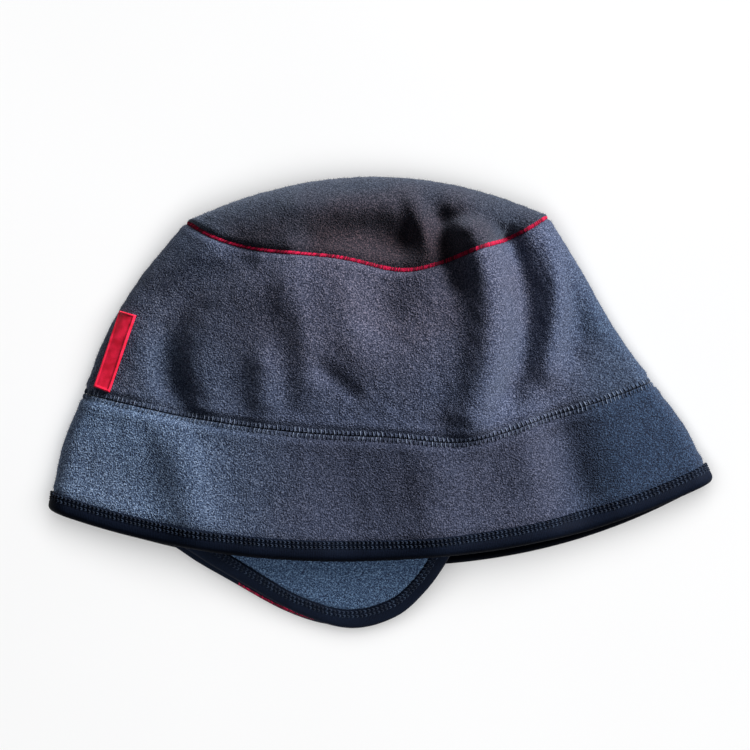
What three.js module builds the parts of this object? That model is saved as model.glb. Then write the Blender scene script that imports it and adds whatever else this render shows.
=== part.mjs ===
// Fleece cap with a bound rim and two ear flaps, lying on its side as it was put down.
// Millimetres, Z up. The rear wall rests on the ground, the crown points to +Y, the mouth to -Y and
// the forehead to +X. The cap is a tube of cloth that narrows from the rim to a closed crown.
import * as THREE from 'three';
import { mergeVertices } from 'three/addons/utils/BufferGeometryUtils.js';

// Thickness of each cloth, and the gap between pieces that touch
const FLEECE = 2.6;
const FLAP_FLEECE = 2.4;
const TAPE = 1.0;
const GAP = 0.3;

// The tape is folded round a raw edge and reaches this far up both faces
const TAPE_LEG = 6;
const TAPE_ARC_STEPS = 4;

// How finely the cap is faceted
const FOLD_STEPS = 3;
const FRONT_STEPS = 40;
const REAR_STEPS = 20;
const SIDE_ROWS = 9;

// Level rings round the cap, seen from above. Station 0 is the rim, 1 the band seam, 2 the crown seam.
// left and right are the ends where the tube folds over, sags are how far the cloth hangs below the
// line between them, fold is the radius of the folded end, and lift is how far the front stands up
// from those radii in the middle.
const RINGS = [
  {
    station: 0, leftX: -144.6, leftY: -45.2, rightX: 144.6, rightY: -32.6,
    frontSag: 27.2, frontSkew: 0.05, frontPower: 2.2, rearSag: 31.5, rearSkew: 0.12, rearPower: 2.25,
    lift: 11, liftPower: 2.2, leftFold: 7.4, rightFold: 6.6,
  },
  {
    station: 0.5, leftX: -140.6, leftY: -21.0, rightX: 134.6, rightY: -11.5,
    frontSag: 24.5, frontSkew: 0.12, frontPower: 2.1, rearSag: 26, rearSkew: 0.1, rearPower: 2.4,
    lift: 12.5, liftPower: 2.6, leftFold: 7.0, rightFold: 6.2,
  },
  {
    station: 1, leftX: -130.8, leftY: 3.8, rightX: 119.5, rightY: 9.0,
    frontSag: 21.2, frontSkew: 0.2, frontPower: 2.0, rearSag: 21, rearSkew: 0.08, rearPower: 2.2,
    lift: 13, liftPower: 2.9, leftFold: 6.8, rightFold: 6.0,
  },
  {
    station: 1.33, leftX: -121.2, leftY: 28.9, rightX: 102.7, rightY: 33.1,
    frontSag: 19.5, frontSkew: 0.15, frontPower: 2.4, rearSag: 19.5, rearSkew: 0.06, rearPower: 2.4,
    lift: 13.5, liftPower: 3.1, leftFold: 7.0, rightFold: 6.4,
  },
  {
    station: 1.67, leftX: -106.0, leftY: 54.3, rightX: 88.4, rightY: 58.0,
    frontSag: 17.0, frontSkew: 0.08, frontPower: 3.0, rearSag: 18.5, rearSkew: 0.03, rearPower: 3.0,
    lift: 13.5, liftPower: 3.2, leftFold: 7.4, rightFold: 7.0,
  },
  {
    station: 2, leftX: -84.8, leftY: 79.2, rightX: 73.2, rightY: 81.6,
    frontSag: 15.6, frontSkew: 0, frontPower: 4.0, rearSag: 17.5, rearSkew: 0, rearPower: 4.0,
    lift: 10, liftPower: 3.2, leftFold: 8.0, rightFold: 8.0,
  },
];
const RIM = 0;
const BAND_SEAM = 1;
const CROWN_SEAM = 2;

// Where the front seams hang lower for a stretch: along is -1 at the left end and 1 at the right
const SEAM_DIPS = [
  { station: BAND_SEAM, along: 0.37, width: 0.2, depth: 5.5, reach: 0.45 },
  { station: CROWN_SEAM, along: 0.24, width: 0.32, depth: 8, reach: 0.5 },
];

// Soft ridges and hollows of the front wall: each runs from x0, y0 with height h0 to x1, y1 with height
// h1, bowed to the left of its way, and its section is rounded with the given half width.
const FOLDS = [
  { name: 'main ridge', x0: 40, y0: 73, h0: 13, x1: 39.5, y1: -5, h1: 8, bow: 8, width: 10 },
  { name: 'between ridges', x0: 57, y0: 68, h0: -8, x1: 56.5, y1: 4.5, h1: -6, bow: 6.5, width: 6.5 },
  { name: 'second ridge', x0: 76.5, y0: 68, h0: 6, x1: 72.5, y1: 15, h1: 3.5, bow: 2.5, width: 5.5 },
  { name: 'past both ridges', x0: 88.5, y0: 60, h0: -4.5, x1: 85, y1: 22.5, h1: -3.5, bow: 2, width: 6.5 },
  { name: 'crease over ridge', x0: 29, y0: 79.5, h0: -4.5, x1: 53, y1: 73, h1: -4.5, bow: 4, width: 4 },
  { name: 'crown ridge', x0: 14, y0: 87, h0: 4.5, x1: 20, y1: 68, h1: 2, bow: 0, width: 4.6 },
  { name: 'crown dip', x0: 25, y0: 80, h0: -5.5, x1: 31.5, y1: 53, h1: -3.5, bow: 0, width: 6 },
  { name: 'crown hollow', x0: -39, y0: 63.5, h0: -5, x1: 8, y1: 71, h1: -7, bow: 5, width: 8.5 },
  { name: 'crown crest', x0: -36, y0: 85, h0: 3.5, x1: 2, y1: 85, h1: 3.5, bow: 0, width: 6.5 },
  { name: 'pinched hollow', x0: 4.5, y0: 60, h0: -7, x1: 0, y1: 44, h1: -7.5, bow: 0, width: 15 },
  { name: 'ridge by the hollow', x0: -38, y0: 63, h0: 3.5, x1: -40, y1: 46, h1: 2.5, bow: 0, width: 7 },
  { name: 'middle swell', x0: -35, y0: 49, h0: 6.5, x1: 8.5, y1: 31.5, h1: 6.5, bow: 0, width: 38 },
  { name: 'left hollow', x0: -60, y0: 59, h0: -5, x1: -87.5, y1: -1, h1: -5.5, bow: -18, width: 10.5 },
  { name: 'left swell', x0: -51.5, y0: 59, h0: 1.5, x1: -74.5, y1: 1, h1: 1.5, bow: -17.5, width: 12 },
  { name: 'left ridge', x0: -76, y0: 66, h0: 2, x1: -101.5, y1: 27, h1: 2, bow: -2, width: 8 },
  { name: 'low left ridge', x0: -50.5, y0: 15.5, h0: 3.5, x1: -50.5, y1: 1.5, h1: 3.5, bow: 0, width: 7 },
  { name: 'left column', x0: -33.5, y0: 35, h0: 2.5, x1: -32, y1: 8, h1: 2.5, bow: 0, width: 7 },
  { name: 'right column', x0: -13.5, y0: 40, h0: 2.5, x1: -8, y1: 20, h1: 2.5, bow: 0, width: 10 },
  { name: 'slanting dip', x0: -25.5, y0: 14.5, h0: -1.5, x1: -12, y1: 4, h1: -1.5, bow: 0, width: 3.6 },
  { name: 'band ridge, left', x0: -90, y0: -13, h0: 3.6, x1: -82, y1: -46.5, h1: 3.6, bow: 0, width: 10 },
  { name: 'band dip, mid', x0: -15.5, y0: -38, h0: -2.2, x1: -13.5, y1: -54, h1: -2.2, bow: 0, width: 13 },
  { name: 'band ridge, mid', x0: 23, y0: -31, h0: 4.5, x1: 23, y1: -52, h1: 4, bow: 0, width: 13 },
  { name: 'band ridge, right', x0: 64, y0: -8, h0: 2, x1: 64, y1: -28, h1: 2, bow: 0, width: 8 },
  { name: 'band dip, far', x0: 81, y0: -17.5, h0: -7, x1: 86, y1: -39, h1: -7, bow: 0, width: 12 },
];
const FOLD_END_STRETCH = 1.2;
const FOLD_FADE = 14;

// The crown panel runs on from the crown seam and turns over along the top of the outline
const CROWN_RISE = 18;
const CROWN_FOLD_Z = 15;
const CROWN_CREST = 4;
const CROWN_FRONT_ANGLES = [0, 18, 36, 54, 72, 90];
const CROWN_REAR_ANGLES = [60, 30, 0];

// The rear wall lies on the ground, raised by the tape's thickness at the rim and a little at the crown
const RIM_LIFT = 1.35;
const RIM_LIFT_END = 0.45;
const CROWN_LIFT = 4;
const CROWN_LIFT_START = 1.6;

// One outline serves both ear flaps: the raw edge from the left end of the flap's sewn top, round the
// lobe, to the right end.
const FLAP_EDGE = [
  [-107, -13], [-102.5, -36.5], [-91.5, -55], [-78.3, -65.6], [-59.6, -77.4], [-35.8, -91],
  [-13.5, -97.2], [6, -92.4], [18.6, -81.2], [28, -66.5], [37, -46], [43, -23],
];
const FLAP_TOP = { leftX: -62, leftY: -18, rightX: 4, rightY: -22 };
const FLAP_COLUMNS = 26;
const FLAP_ROWS = 5;
const FLAP_TAPE_START = 2;

// Heights of the flaps' upper and lower faces, and the lengths over which they come down to rest
const NEAR_FLAP = {
  name: 'ear_flap_right', shiftX: 0, shiftY: 0, sewnDrop: 4.4, rimDrop: 6.4, dropLength: 16,
  tipZ: 9.2, fallLength: 32,
};
const FAR_FLAP = {
  name: 'ear_flap_left', shiftX: -6.5, shiftY: 1, sewnZ: 6.8, rimZ: 9.3, climbStart: 30, climbEnd: 9,
  tipZ: 3.8, fallStart: 4, fallLength: 20,
};

// The rubber tab on the left of the front wall: its four corners seen from above
const LABEL = {
  topLeft: [-113.4, 39.4], topRight: [-106.4, 37.6], bottomLeft: [-125.0, 6.4], bottomRight: [-118.2, 4.0],
  rows: 8, columns: 3, seat: 0.45, thickness: 1.2,
};

const FLEECE_COLOUR = 0x46546b;
const TAPE_COLOUR = 0x171f2d;
const LABEL_COLOUR = 0xad2233;

const { lerp, smoothstep, euclideanModulo, degToRad } = THREE.MathUtils;

/** A value of RINGS at any station, on a smooth curve through the table's rows. */
function ringValue(name, station) {
  const last = RINGS.length - 1;
  let row = 0;
  while (row < last - 1 && station > RINGS[row + 1].station) {
    row += 1;
  }
  const span = RINGS[row + 1].station - RINGS[row].station;
  const slope = (i) => {
    const low = RINGS[Math.max(i - 1, 0)];
    const high = RINGS[Math.min(i + 1, last)];
    return (high[name] - low[name]) / (high.station - low.station);
  };
  const t = (station - RINGS[row].station) / span;
  const start = (2 * t ** 3 - 3 * t ** 2 + 1) * RINGS[row][name];
  const end = (3 * t ** 2 - 2 * t ** 3) * RINGS[row + 1][name];
  const startSlope = (t ** 3 - 2 * t ** 2 + t) * slope(row) * span;
  const endSlope = (t ** 3 - t ** 2) * slope(row + 1) * span;
  return start + end + startSlope + endSlope;
}

/** The ring's centre, half width and end heights at a station. */
function ringSpan(station) {
  const leftX = ringValue('leftX', station);
  const rightX = ringValue('rightX', station);
  return {
    centreX: (leftX + rightX) / 2,
    halfWidth: (rightX - leftX) / 2,
    leftY: ringValue('leftY', station),
    rightY: ringValue('rightY', station),
  };
}

/** How far a front seam dips below its even sag, at a place along it. */
function seamDip(along, station) {
  let dip = 0;
  for (const row of SEAM_DIPS) {
    const across = Math.exp(-(((along - row.along) / row.width) ** 2));
    const near = smoothstep(1 - Math.abs(station - row.station) / row.reach, 0, 1);
    dip += row.depth * across * near;
  }
  return dip * (1 - along ** 2);
}

/** The height in Y of the front or rear wall at a place along the ring. */
function wallY(along, station, side) {
  const span = ringSpan(station);
  const chord = lerp(span.leftY, span.rightY, (along + 1) / 2);
  const sag = ringValue(`${side}Sag`, station) * (1 + ringValue(`${side}Skew`, station) * along);
  const even = chord - sag * (1 - Math.abs(along) ** ringValue(`${side}Power`, station));
  return side === 'front' ? even - seamDip(along, station) : even;
}

/** Sum of the ridges and hollows at a place on the front wall. */
function foldHeight(x, y) {
  let height = 0;
  for (const fold of FOLDS) {
    const runX = fold.x1 - fold.x0;
    const runY = fold.y1 - fold.y0;
    const length = Math.hypot(runX, runY);
    const t = ((x - fold.x0) * runX + (y - fold.y0) * runY) / length ** 2;
    const inside = Math.min(Math.max(t, 0), 1);
    const side = ((y - fold.y0) * runX - (x - fold.x0) * runY) / length;
    const offLine = (side - 4 * fold.bow * inside * (1 - inside)) / fold.width;
    const pastEnd = ((t - inside) * length) / (FOLD_END_STRETCH * fold.width);
    height += lerp(fold.h0, fold.h1, inside) * Math.exp(-(offLine ** 2) - pastEnd ** 2);
  }
  return height;
}

/** How high the rear wall's outer face lies above the ground. */
function rearLift(station) {
  const rim = RIM_LIFT * (1 - smoothstep(station, 0.15, RIM_LIFT_END));
  return rim + CROWN_LIFT * smoothstep(station, CROWN_LIFT_START, CROWN_SEAM);
}

/**
 * A point of the cap's outer face. turn goes once round: 0 to 1 is the left fold's upper quarter,
 * 1 to 2 the front wall, 2 to 3 and 3 to 4 the right fold, 4 to 5 the rear wall, 5 to 6 the left fold's
 * lower quarter.
 */
function ringPoint(turn, station) {
  const wrapped = euclideanModulo(turn, 6);
  const side = wrapped <= 3 ? 'front' : 'rear';
  const walk = side === 'front' ? wrapped : 6 - wrapped;
  const { centreX, halfWidth } = ringSpan(station);
  const leftFold = ringValue('leftFold', station);
  const rightFold = ringValue('rightFold', station);
  let along = lerp(leftFold / halfWidth - 1, 1 - rightFold / halfWidth, walk - 1);
  let fold = lerp(leftFold, rightFold, walk - 1);
  let rise = 1;
  if (walk < 1) {
    const angle = (walk * Math.PI) / 2;
    along = (leftFold * (1 - Math.cos(angle))) / halfWidth - 1;
    fold = leftFold;
    rise = Math.sin(angle);
  } else if (walk > 2) {
    const angle = ((3 - walk) * Math.PI) / 2;
    along = 1 - (rightFold * (1 - Math.cos(angle))) / halfWidth;
    fold = rightFold;
    rise = Math.sin(angle);
  }
  const x = centreX + halfWidth * along;
  const y = wallY(along, station, side);
  if (side === 'rear') {
    return new THREE.Vector3(x, y, rearLift(station) + fold * (1 - rise));
  }
  const lift = ringValue('lift', station) * (1 - Math.abs(along) ** ringValue('liftPower', station));
  const fade = smoothstep(halfWidth * (1 - Math.abs(along)), 0, FOLD_FADE);
  return new THREE.Vector3(x, y, rearLift(station) + fold * (1 + rise) + lift + foldHeight(x, y) * fade);
}

/** The outward normal of a surface given as a function of two numbers. */
function normalOf(surface, u, v, stepU, stepV) {
  const alongU = surface(u + stepU, v).sub(surface(u - stepU, v));
  const alongV = surface(u, v + stepV).sub(surface(u, v - stepV));
  return alongU.cross(alongV).normalize();
}

const NORMAL_TURN = 0.012;
const NORMAL_STATION = 0.03;

/** The cap's outward normal at a turn and station. */
function ringNormal(turn, station) {
  return normalOf(ringPoint, turn, station, NORMAL_TURN, NORMAL_STATION);
}

/** The point at a distance outside (or, if negative, inside) the cap's outer face. */
function ringOffset(turn, station, distance) {
  return ringPoint(turn, station).addScaledVector(ringNormal(turn, station), distance);
}

/** The turns of one walk round the cap. */
function ringTurns() {
  const turns = [];
  const stepsOfPart = [FOLD_STEPS, FRONT_STEPS, FOLD_STEPS, FOLD_STEPS, REAR_STEPS, FOLD_STEPS];
  stepsOfPart.forEach((steps, part) => {
    for (let i = 0; i < steps; i += 1) {
      turns.push(part + i / steps);
    }
  });
  return turns;
}

/**
 * A closed shell between two grids of points, whose rows are joined into rings if closed is true.
 * Corners that fall together, as at a pole, are merged. The first turnedRows rows of faces are split
 * along their other diagonal, as a face is that lies against them the other way up.
 */
function shellGeometry(outer, inner, closed, turnedRows = 0) {
  const rows = outer.length;
  const columns = outer[0].length;
  const spans = closed ? columns : columns - 1;
  const at = (layer, row, column) => (layer * rows + row) * columns + (column % columns);
  const behind = rows * columns;
  const corners = [];
  const quad = (a, b, c, d) => corners.push(a, b, c, a, c, d);
  for (let row = 0; row < rows - 1; row += 1) {
    for (let column = 0; column < spans; column += 1) {
      const [a, b] = [at(0, row, column), at(0, row, column + 1)];
      const [c, d] = [at(0, row + 1, column + 1), at(0, row + 1, column)];
      if (row < turnedRows) {
        quad(b, c, d, a);
        quad(d + behind, c + behind, b + behind, a + behind);
      } else {
        quad(a, b, c, d);
        quad(a + behind, d + behind, c + behind, b + behind);
      }
    }
    if (!closed) {
      quad(at(0, row, 0), at(0, row + 1, 0), at(1, row + 1, 0), at(1, row, 0));
      quad(at(0, row, spans), at(1, row, spans), at(1, row + 1, spans), at(0, row + 1, spans));
    }
  }
  const top = rows - 1;
  for (let column = 0; column < spans; column += 1) {
    quad(at(0, 0, column), at(1, 0, column), at(1, 0, column + 1), at(0, 0, column + 1));
    quad(at(0, top, column), at(0, top, column + 1), at(1, top, column + 1), at(1, top, column));
  }
  const points = [...outer.flat(), ...inner.flat()];
  const loose = new THREE.BufferGeometry();
  const places = points.flatMap((p) => [p.x, p.y, p.z]);
  loose.setAttribute('position', new THREE.Float32BufferAttribute(places, 3));
  loose.setIndex(corners);
  const merged = mergeVertices(loose, 1e-4);
  const index = Array.from(merged.getIndex().array);
  const kept = [];
  for (let i = 0; i < index.length; i += 3) {
    const [a, b, c] = index.slice(i, i + 3);
    if (a !== b && b !== c && c !== a) {
      kept.push(a, b, c);
    }
  }
  merged.setIndex(kept);
  merged.computeVertexNormals();
  return merged;
}

/** A named mesh with a matt material of its own. */
function clothMesh(name, geometry, colour) {
  const material = new THREE.MeshStandardMaterial({ color: colour, roughness: 0.95, metalness: 0 });
  const mesh = new THREE.Mesh(geometry, material);
  mesh.name = name;
  return mesh;
}

// Half the gap at a seam and the tape's reach, as shares of a station
const STATION_LENGTH = 50;
const SEAM_STEP = GAP / 2 / STATION_LENGTH;
const TAPE_LEG_STATION = TAPE_LEG / STATION_LENGTH;

/** A tube of fleece between the given stations. */
function fleeceTube(stations) {
  const turns = ringTurns();
  const outer = stations.map((station) => turns.map((turn) => ringPoint(turn, station)));
  const inner = stations.map((station) => turns.map((turn) => ringOffset(turn, station, -FLEECE)));
  return shellGeometry(outer, inner, true);
}

/** The wide band between the rim and the band seam. */
function makeBand() {
  return fleeceTube([RIM, TAPE_LEG_STATION, 0.34, 0.56, 0.78, BAND_SEAM - SEAM_STEP]);
}

/** The wall between the band seam and the crown seam. */
function makeCrownSide() {
  const start = BAND_SEAM + SEAM_STEP;
  const end = CROWN_SEAM - 2 * SEAM_STEP;
  const stations = [];
  for (let row = 0; row <= SIDE_ROWS; row += 1) {
    stations.push(lerp(start, end, row / SIDE_ROWS));
  }
  return fleeceTube(stations);
}

/** A point of the crown panel: angle 0 is its seam and 90 the fold along the top of the outline. */
function crownPoint(turn, side, angle) {
  const { centreX, halfWidth, leftY, rightY } = ringSpan(CROWN_SEAM);
  const seam = ringPoint(side === 'front' ? turn : 6 - turn, CROWN_SEAM);
  const along = (seam.x - centreX) / halfWidth;
  const middle = 1 - along ** 2;
  const foldY = lerp(leftY, rightY, (along + 1) / 2) + CROWN_RISE * middle;
  const endZ = rearLift(CROWN_SEAM) + ringValue('leftFold', CROWN_SEAM);
  const foldZ = endZ + (CROWN_FOLD_Z - endZ) * middle;
  const radians = degToRad(angle);
  const y = lerp(seam.y, foldY, Math.sin(radians));
  if (side === 'rear') {
    return new THREE.Vector3(seam.x, y, lerp(foldZ, seam.z, Math.cos(radians)));
  }
  const fade = smoothstep(halfWidth * (1 - Math.abs(along)), 0, FOLD_FADE);
  const relief = (foldHeight(seam.x, y) - foldHeight(seam.x, seam.y)) * fade * Math.cos(radians);
  const crest = CROWN_CREST * Math.sin(2 * radians) * middle;
  return new THREE.Vector3(seam.x, y, lerp(foldZ, seam.z, Math.cos(radians)) + relief + crest);
}

/** The turns of the front half of the crown seam, from the left end to the right end. */
function crownTurns() {
  return ringTurns().filter((turn) => turn < 3).concat([3]);
}

/** Replaces every other point of the rear seam's wall stretch by the middle of its neighbours. */
function halveWallStretch(row) {
  const first = FOLD_STEPS;
  const last = FOLD_STEPS + FRONT_STEPS;
  return row.map((point, i) => {
    const between = i > first && i < last && (i - first) % 2 === 1;
    return between ? row[i - 1].clone().lerp(row[i + 1], 0.5) : point;
  });
}

/** The oval panel that closes the crown, with a pole at each end of its seam. */
function makeCrownTip() {
  const turns = crownTurns();
  const poles = [0, turns.length - 1];
  const rowAt = (side, angle) => turns.map((turn) => crownPoint(turn, side, angle));
  const outer = [
    ...CROWN_FRONT_ANGLES.map((angle) => rowAt('front', angle)),
    ...CROWN_REAR_ANGLES.map((angle) => rowAt('rear', angle)),
  ];
  const rearSeam = outer.length - 1;
  const innerPoint = (row, column) => {
    const point = outer[row][column].clone();
    if (row === 0 || row === rearSeam || poles.includes(column)) {
      const turn = row === rearSeam ? 6 - turns[column] : turns[column];
      return point.addScaledVector(ringNormal(turn, CROWN_SEAM), -FLEECE);
    }
    const across = outer[row][column + 1].clone().sub(outer[row][column - 1]);
    const up = outer[row + 1][column].clone().sub(outer[row - 1][column]);
    return point.addScaledVector(across.cross(up).normalize(), -FLEECE);
  };
  const inner = outer.map((points, row) => points.map((_, column) => innerPoint(row, column)));
  outer[rearSeam] = halveWallStretch(outer[rearSeam]);
  inner[rearSeam] = halveWallStretch(inner[rearSeam]);
  return shellGeometry(outer, inner, false);
}

/**
 * Points of a tape folded round a raw edge, at a distance outside the cloth: the end of the upper leg,
 * an arc round the edge, and the end of the lower leg. edge and leg each hold a point of the cloth's
 * upper face and its normal, and edge.down points off the cloth.
 */
function tapeColumn(edge, leg, wall, distance) {
  const middle = edge.point.clone().addScaledVector(edge.normal, -wall / 2);
  const radius = wall / 2 + distance;
  const column = [leg.point.clone().addScaledVector(leg.normal, distance)];
  for (let step = 0; step <= TAPE_ARC_STEPS; step += 1) {
    const angle = (step / TAPE_ARC_STEPS) * Math.PI;
    const around = edge.normal.clone().multiplyScalar(Math.cos(angle));
    around.addScaledVector(edge.down, Math.sin(angle));
    column.push(middle.clone().addScaledVector(around, radius));
  }
  column.push(leg.point.clone().addScaledVector(leg.normal, -wall - distance));
  return column;
}

/** Turns a list of columns into a list of rows, from the inside leg to the outside leg. */
function columnsToRows(columns) {
  return columns[0].map((_, row) => columns.map((column) => column[column.length - 1 - row]));
}

/** A folded tape along a row of edge places. */
function tapeGeometry(places, wall, closed) {
  const faceAt = (distance) => columnsToRows(
    places.map(({ edge, leg }) => tapeColumn(edge, leg, wall, distance)),
  );
  return shellGeometry(faceAt(GAP + TAPE), faceAt(GAP), closed, 1);
}

/** The tape round the rim. */
function makeRimBinding() {
  const places = ringTurns().map((turn) => {
    const point = ringPoint(turn, RIM);
    const normal = ringNormal(turn, RIM);
    const up = ringPoint(turn, RIM + NORMAL_STATION).sub(ringPoint(turn, RIM - NORMAL_STATION));
    const down = up.addScaledVector(normal, -up.dot(normal)).normalize().negate();
    const leg = { point: ringPoint(turn, TAPE_LEG_STATION), normal: ringNormal(turn, TAPE_LEG_STATION) };
    return { edge: { point, normal, down }, leg };
  });
  return tapeGeometry(places, FLEECE, true);
}

/** The front wall's outer face straight above a place, which is moved up to the rim if it lies below. */
function frontHeight(x, y) {
  let low = RIM;
  let high = CROWN_SEAM;
  const alongAt = (station) => {
    const { centreX, halfWidth } = ringSpan(station);
    return (x - centreX) / halfWidth;
  };
  for (let i = 0; i < 24; i += 1) {
    const middle = (low + high) / 2;
    if (wallY(alongAt(middle), middle, 'front') < y) {
      low = middle;
    } else {
      high = middle;
    }
  }
  const along = alongAt(low);
  const { halfWidth } = ringSpan(low);
  const leftStop = ringValue('leftFold', low) / halfWidth - 1;
  const rightStop = 1 - ringValue('rightFold', low) / halfWidth;
  return ringPoint(1 + (along - leftStop) / (rightStop - leftStop), low).z;
}

/** How far below the front or rear rim a place lies, negative above it. */
function belowRim(x, y, side) {
  const { centreX, halfWidth } = ringSpan(RIM);
  return wallY((x - centreX) / halfWidth, RIM, side) - y;
}

/** The upper face of the flap under the front wall: it follows the wall, then comes down to its tip. */
function nearFlapHeight(x, y) {
  const fromTop = NEAR_FLAP.dropLength;
  const topY = lerp(FLAP_TOP.leftY, FLAP_TOP.rightY, 0.5);
  const drop = lerp(NEAR_FLAP.sewnDrop, NEAR_FLAP.rimDrop, smoothstep(topY - y, 0, fromTop));
  const under = frontHeight(x, y) - drop;
  return lerp(under, NEAR_FLAP.tipZ, smoothstep(belowRim(x, y, 'front'), 0, NEAR_FLAP.fallLength));
}

/** The upper face of the flap on the rear wall: it climbs over the rim's tape and lies on the ground. */
function farFlapHeight(x, y) {
  const below = belowRim(x, y, 'rear');
  const climb = smoothstep(below, -FAR_FLAP.climbStart, -FAR_FLAP.climbEnd);
  const fall = smoothstep(below, FAR_FLAP.fallStart, FAR_FLAP.fallStart + FAR_FLAP.fallLength);
  return lerp(lerp(FAR_FLAP.sewnZ, FAR_FLAP.rimZ, climb), FAR_FLAP.tipZ, fall);
}

/** A flap's upper face. u runs along the edge from left to right, t from the sewn top to the edge. */
function flapSurface(flap, heightAt) {
  const edge = new THREE.SplineCurve(FLAP_EDGE.map(([x, y]) => new THREE.Vector2(x, y)));
  return (u, t) => {
    const end = edge.getPoint(Math.min(Math.max(u, 0), 1));
    const x = lerp(lerp(FLAP_TOP.leftX, FLAP_TOP.rightX, u), end.x, t) + flap.shiftX;
    const y = lerp(lerp(FLAP_TOP.leftY, FLAP_TOP.rightY, u), end.y, t) + flap.shiftY;
    return new THREE.Vector3(x, y, heightAt(x, y));
  };
}

/** The share of a flap's column that ends where the tape's leg ends. */
function legShare(surface, u) {
  const length = surface(u, 1).distanceTo(surface(u, 0));
  return 1 - TAPE_LEG / length;
}

/** A flap and the tape round its edge. */
function makeFlap(flap, heightAt) {
  const surface = flapSurface(flap, heightAt);
  const upward = (u, t) => normalOf(surface, u, t, 0.01, 0.02).negate();
  const us = [];
  for (let column = 0; column <= FLAP_COLUMNS; column += 1) {
    us.push(column / FLAP_COLUMNS);
  }
  const rows = [];
  for (let row = 0; row <= FLAP_ROWS; row += 1) {
    rows.push(us.map((u) => [u, (row / FLAP_ROWS) * legShare(surface, u)]));
  }
  rows.push(us.map((u) => [u, 1]));
  rows.reverse();
  const upper = rows.map((row) => row.map(([u, t]) => surface(u, t)));
  const lower = rows.map((row) => row.map(([u, t]) => (
    surface(u, t).addScaledVector(upward(u, t), -FLAP_FLEECE)
  )));
  const places = us.slice(FLAP_TAPE_START, us.length - FLAP_TAPE_START).map((u) => {
    const point = surface(u, 1);
    const normal = upward(u, 1);
    const inward = surface(u, legShare(surface, u)).sub(point);
    const down = inward.addScaledVector(normal, -inward.dot(normal)).normalize().negate();
    const t = legShare(surface, u);
    return { edge: { point, normal, down }, leg: { point: surface(u, t), normal: upward(u, t) } };
  });
  return [
    clothMesh(flap.name, shellGeometry(upper, lower, false), FLEECE_COLOUR),
    clothMesh(`${flap.name}_binding`, tapeGeometry(places, FLAP_FLEECE, false), TAPE_COLOUR),
  ];
}

/** The turn and station of the front wall at a place seen from above. */
function findOnFront(x, y) {
  let turn = 1.2;
  let station = 1.2;
  for (let i = 0; i < 30; i += 1) {
    const here = ringPoint(turn, station);
    const byTurn = ringPoint(turn + 0.01, station).sub(here).divideScalar(0.01);
    const byStation = ringPoint(turn, station + 0.01).sub(here).divideScalar(0.01);
    const det = byTurn.x * byStation.y - byTurn.y * byStation.x;
    const missX = x - here.x;
    const missY = y - here.y;
    turn += (missX * byStation.y - missY * byStation.x) / det;
    station += (missY * byTurn.x - missX * byTurn.y) / det;
    turn = Math.min(Math.max(turn, 0.05), 2);
  }
  return { turn, station };
}

/** The rubber tab that lies on the left of the front wall. */
function makeLabel() {
  const placeAt = (row, column) => {
    const down = row / (LABEL.rows - 1);
    const right = column / (LABEL.columns - 1);
    const corner = (i) => lerp(
      lerp(LABEL.bottomLeft[i], LABEL.bottomRight[i], right),
      lerp(LABEL.topLeft[i], LABEL.topRight[i], right),
      down,
    );
    return findOnFront(corner(0), corner(1));
  };
  const faceAt = (distance) => {
    const rows = [];
    for (let row = 0; row < LABEL.rows; row += 1) {
      const points = [];
      for (let column = 0; column < LABEL.columns; column += 1) {
        const { turn, station } = placeAt(row, column);
        points.push(ringOffset(turn, station, distance));
      }
      rows.push(points);
    }
    return rows;
  };
  return shellGeometry(faceAt(LABEL.seat + LABEL.thickness), faceAt(LABEL.seat), false);
}

const cap = new THREE.Group();
cap.add(clothMesh('crown_tip', makeCrownTip(), FLEECE_COLOUR));
cap.add(clothMesh('crown_side', makeCrownSide(), FLEECE_COLOUR));
cap.add(clothMesh('band', makeBand(), FLEECE_COLOUR));
cap.add(clothMesh('rim_binding', makeRimBinding(), TAPE_COLOUR));
cap.add(...makeFlap(NEAR_FLAP, nearFlapHeight));
cap.add(...makeFlap(FAR_FLAP, farFlapHeight));
cap.add(clothMesh('side_label', makeLabel(), LABEL_COLOUR));

export default cap;
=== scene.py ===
"""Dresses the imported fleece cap: napped panels, sewn seams, stitched bindings and the rubber tab.

The cap lies flat on its rear wall, with the crown towards +Y and the mouth towards -Y. The form is worked
out in millimetres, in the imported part's frame, and every mesh is made in metres.
"""
import logging
import math
from dataclasses import dataclass, fields
from enum import Enum

import bmesh
import bpy
import numpy as np
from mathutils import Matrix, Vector


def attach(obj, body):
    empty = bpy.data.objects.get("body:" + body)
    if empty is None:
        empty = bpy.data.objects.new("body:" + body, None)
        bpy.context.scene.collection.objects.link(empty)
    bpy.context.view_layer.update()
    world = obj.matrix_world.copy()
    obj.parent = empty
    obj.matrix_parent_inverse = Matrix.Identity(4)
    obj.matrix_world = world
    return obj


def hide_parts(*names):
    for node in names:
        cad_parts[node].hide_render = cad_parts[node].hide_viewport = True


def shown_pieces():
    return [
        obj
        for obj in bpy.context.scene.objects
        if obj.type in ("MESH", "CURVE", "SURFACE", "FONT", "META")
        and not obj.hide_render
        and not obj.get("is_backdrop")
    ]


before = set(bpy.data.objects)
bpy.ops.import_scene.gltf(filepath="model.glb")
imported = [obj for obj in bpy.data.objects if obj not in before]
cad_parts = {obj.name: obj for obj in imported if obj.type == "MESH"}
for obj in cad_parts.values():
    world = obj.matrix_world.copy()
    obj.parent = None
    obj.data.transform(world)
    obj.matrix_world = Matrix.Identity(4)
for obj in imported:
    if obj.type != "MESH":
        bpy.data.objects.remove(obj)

Array = np.ndarray
Piece = bpy.types.Object
Socket = bpy.types.NodeSocket
Material = bpy.types.Material
Triple = tuple[float, float, float]
Colour = tuple[float, float, float, float]

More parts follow.
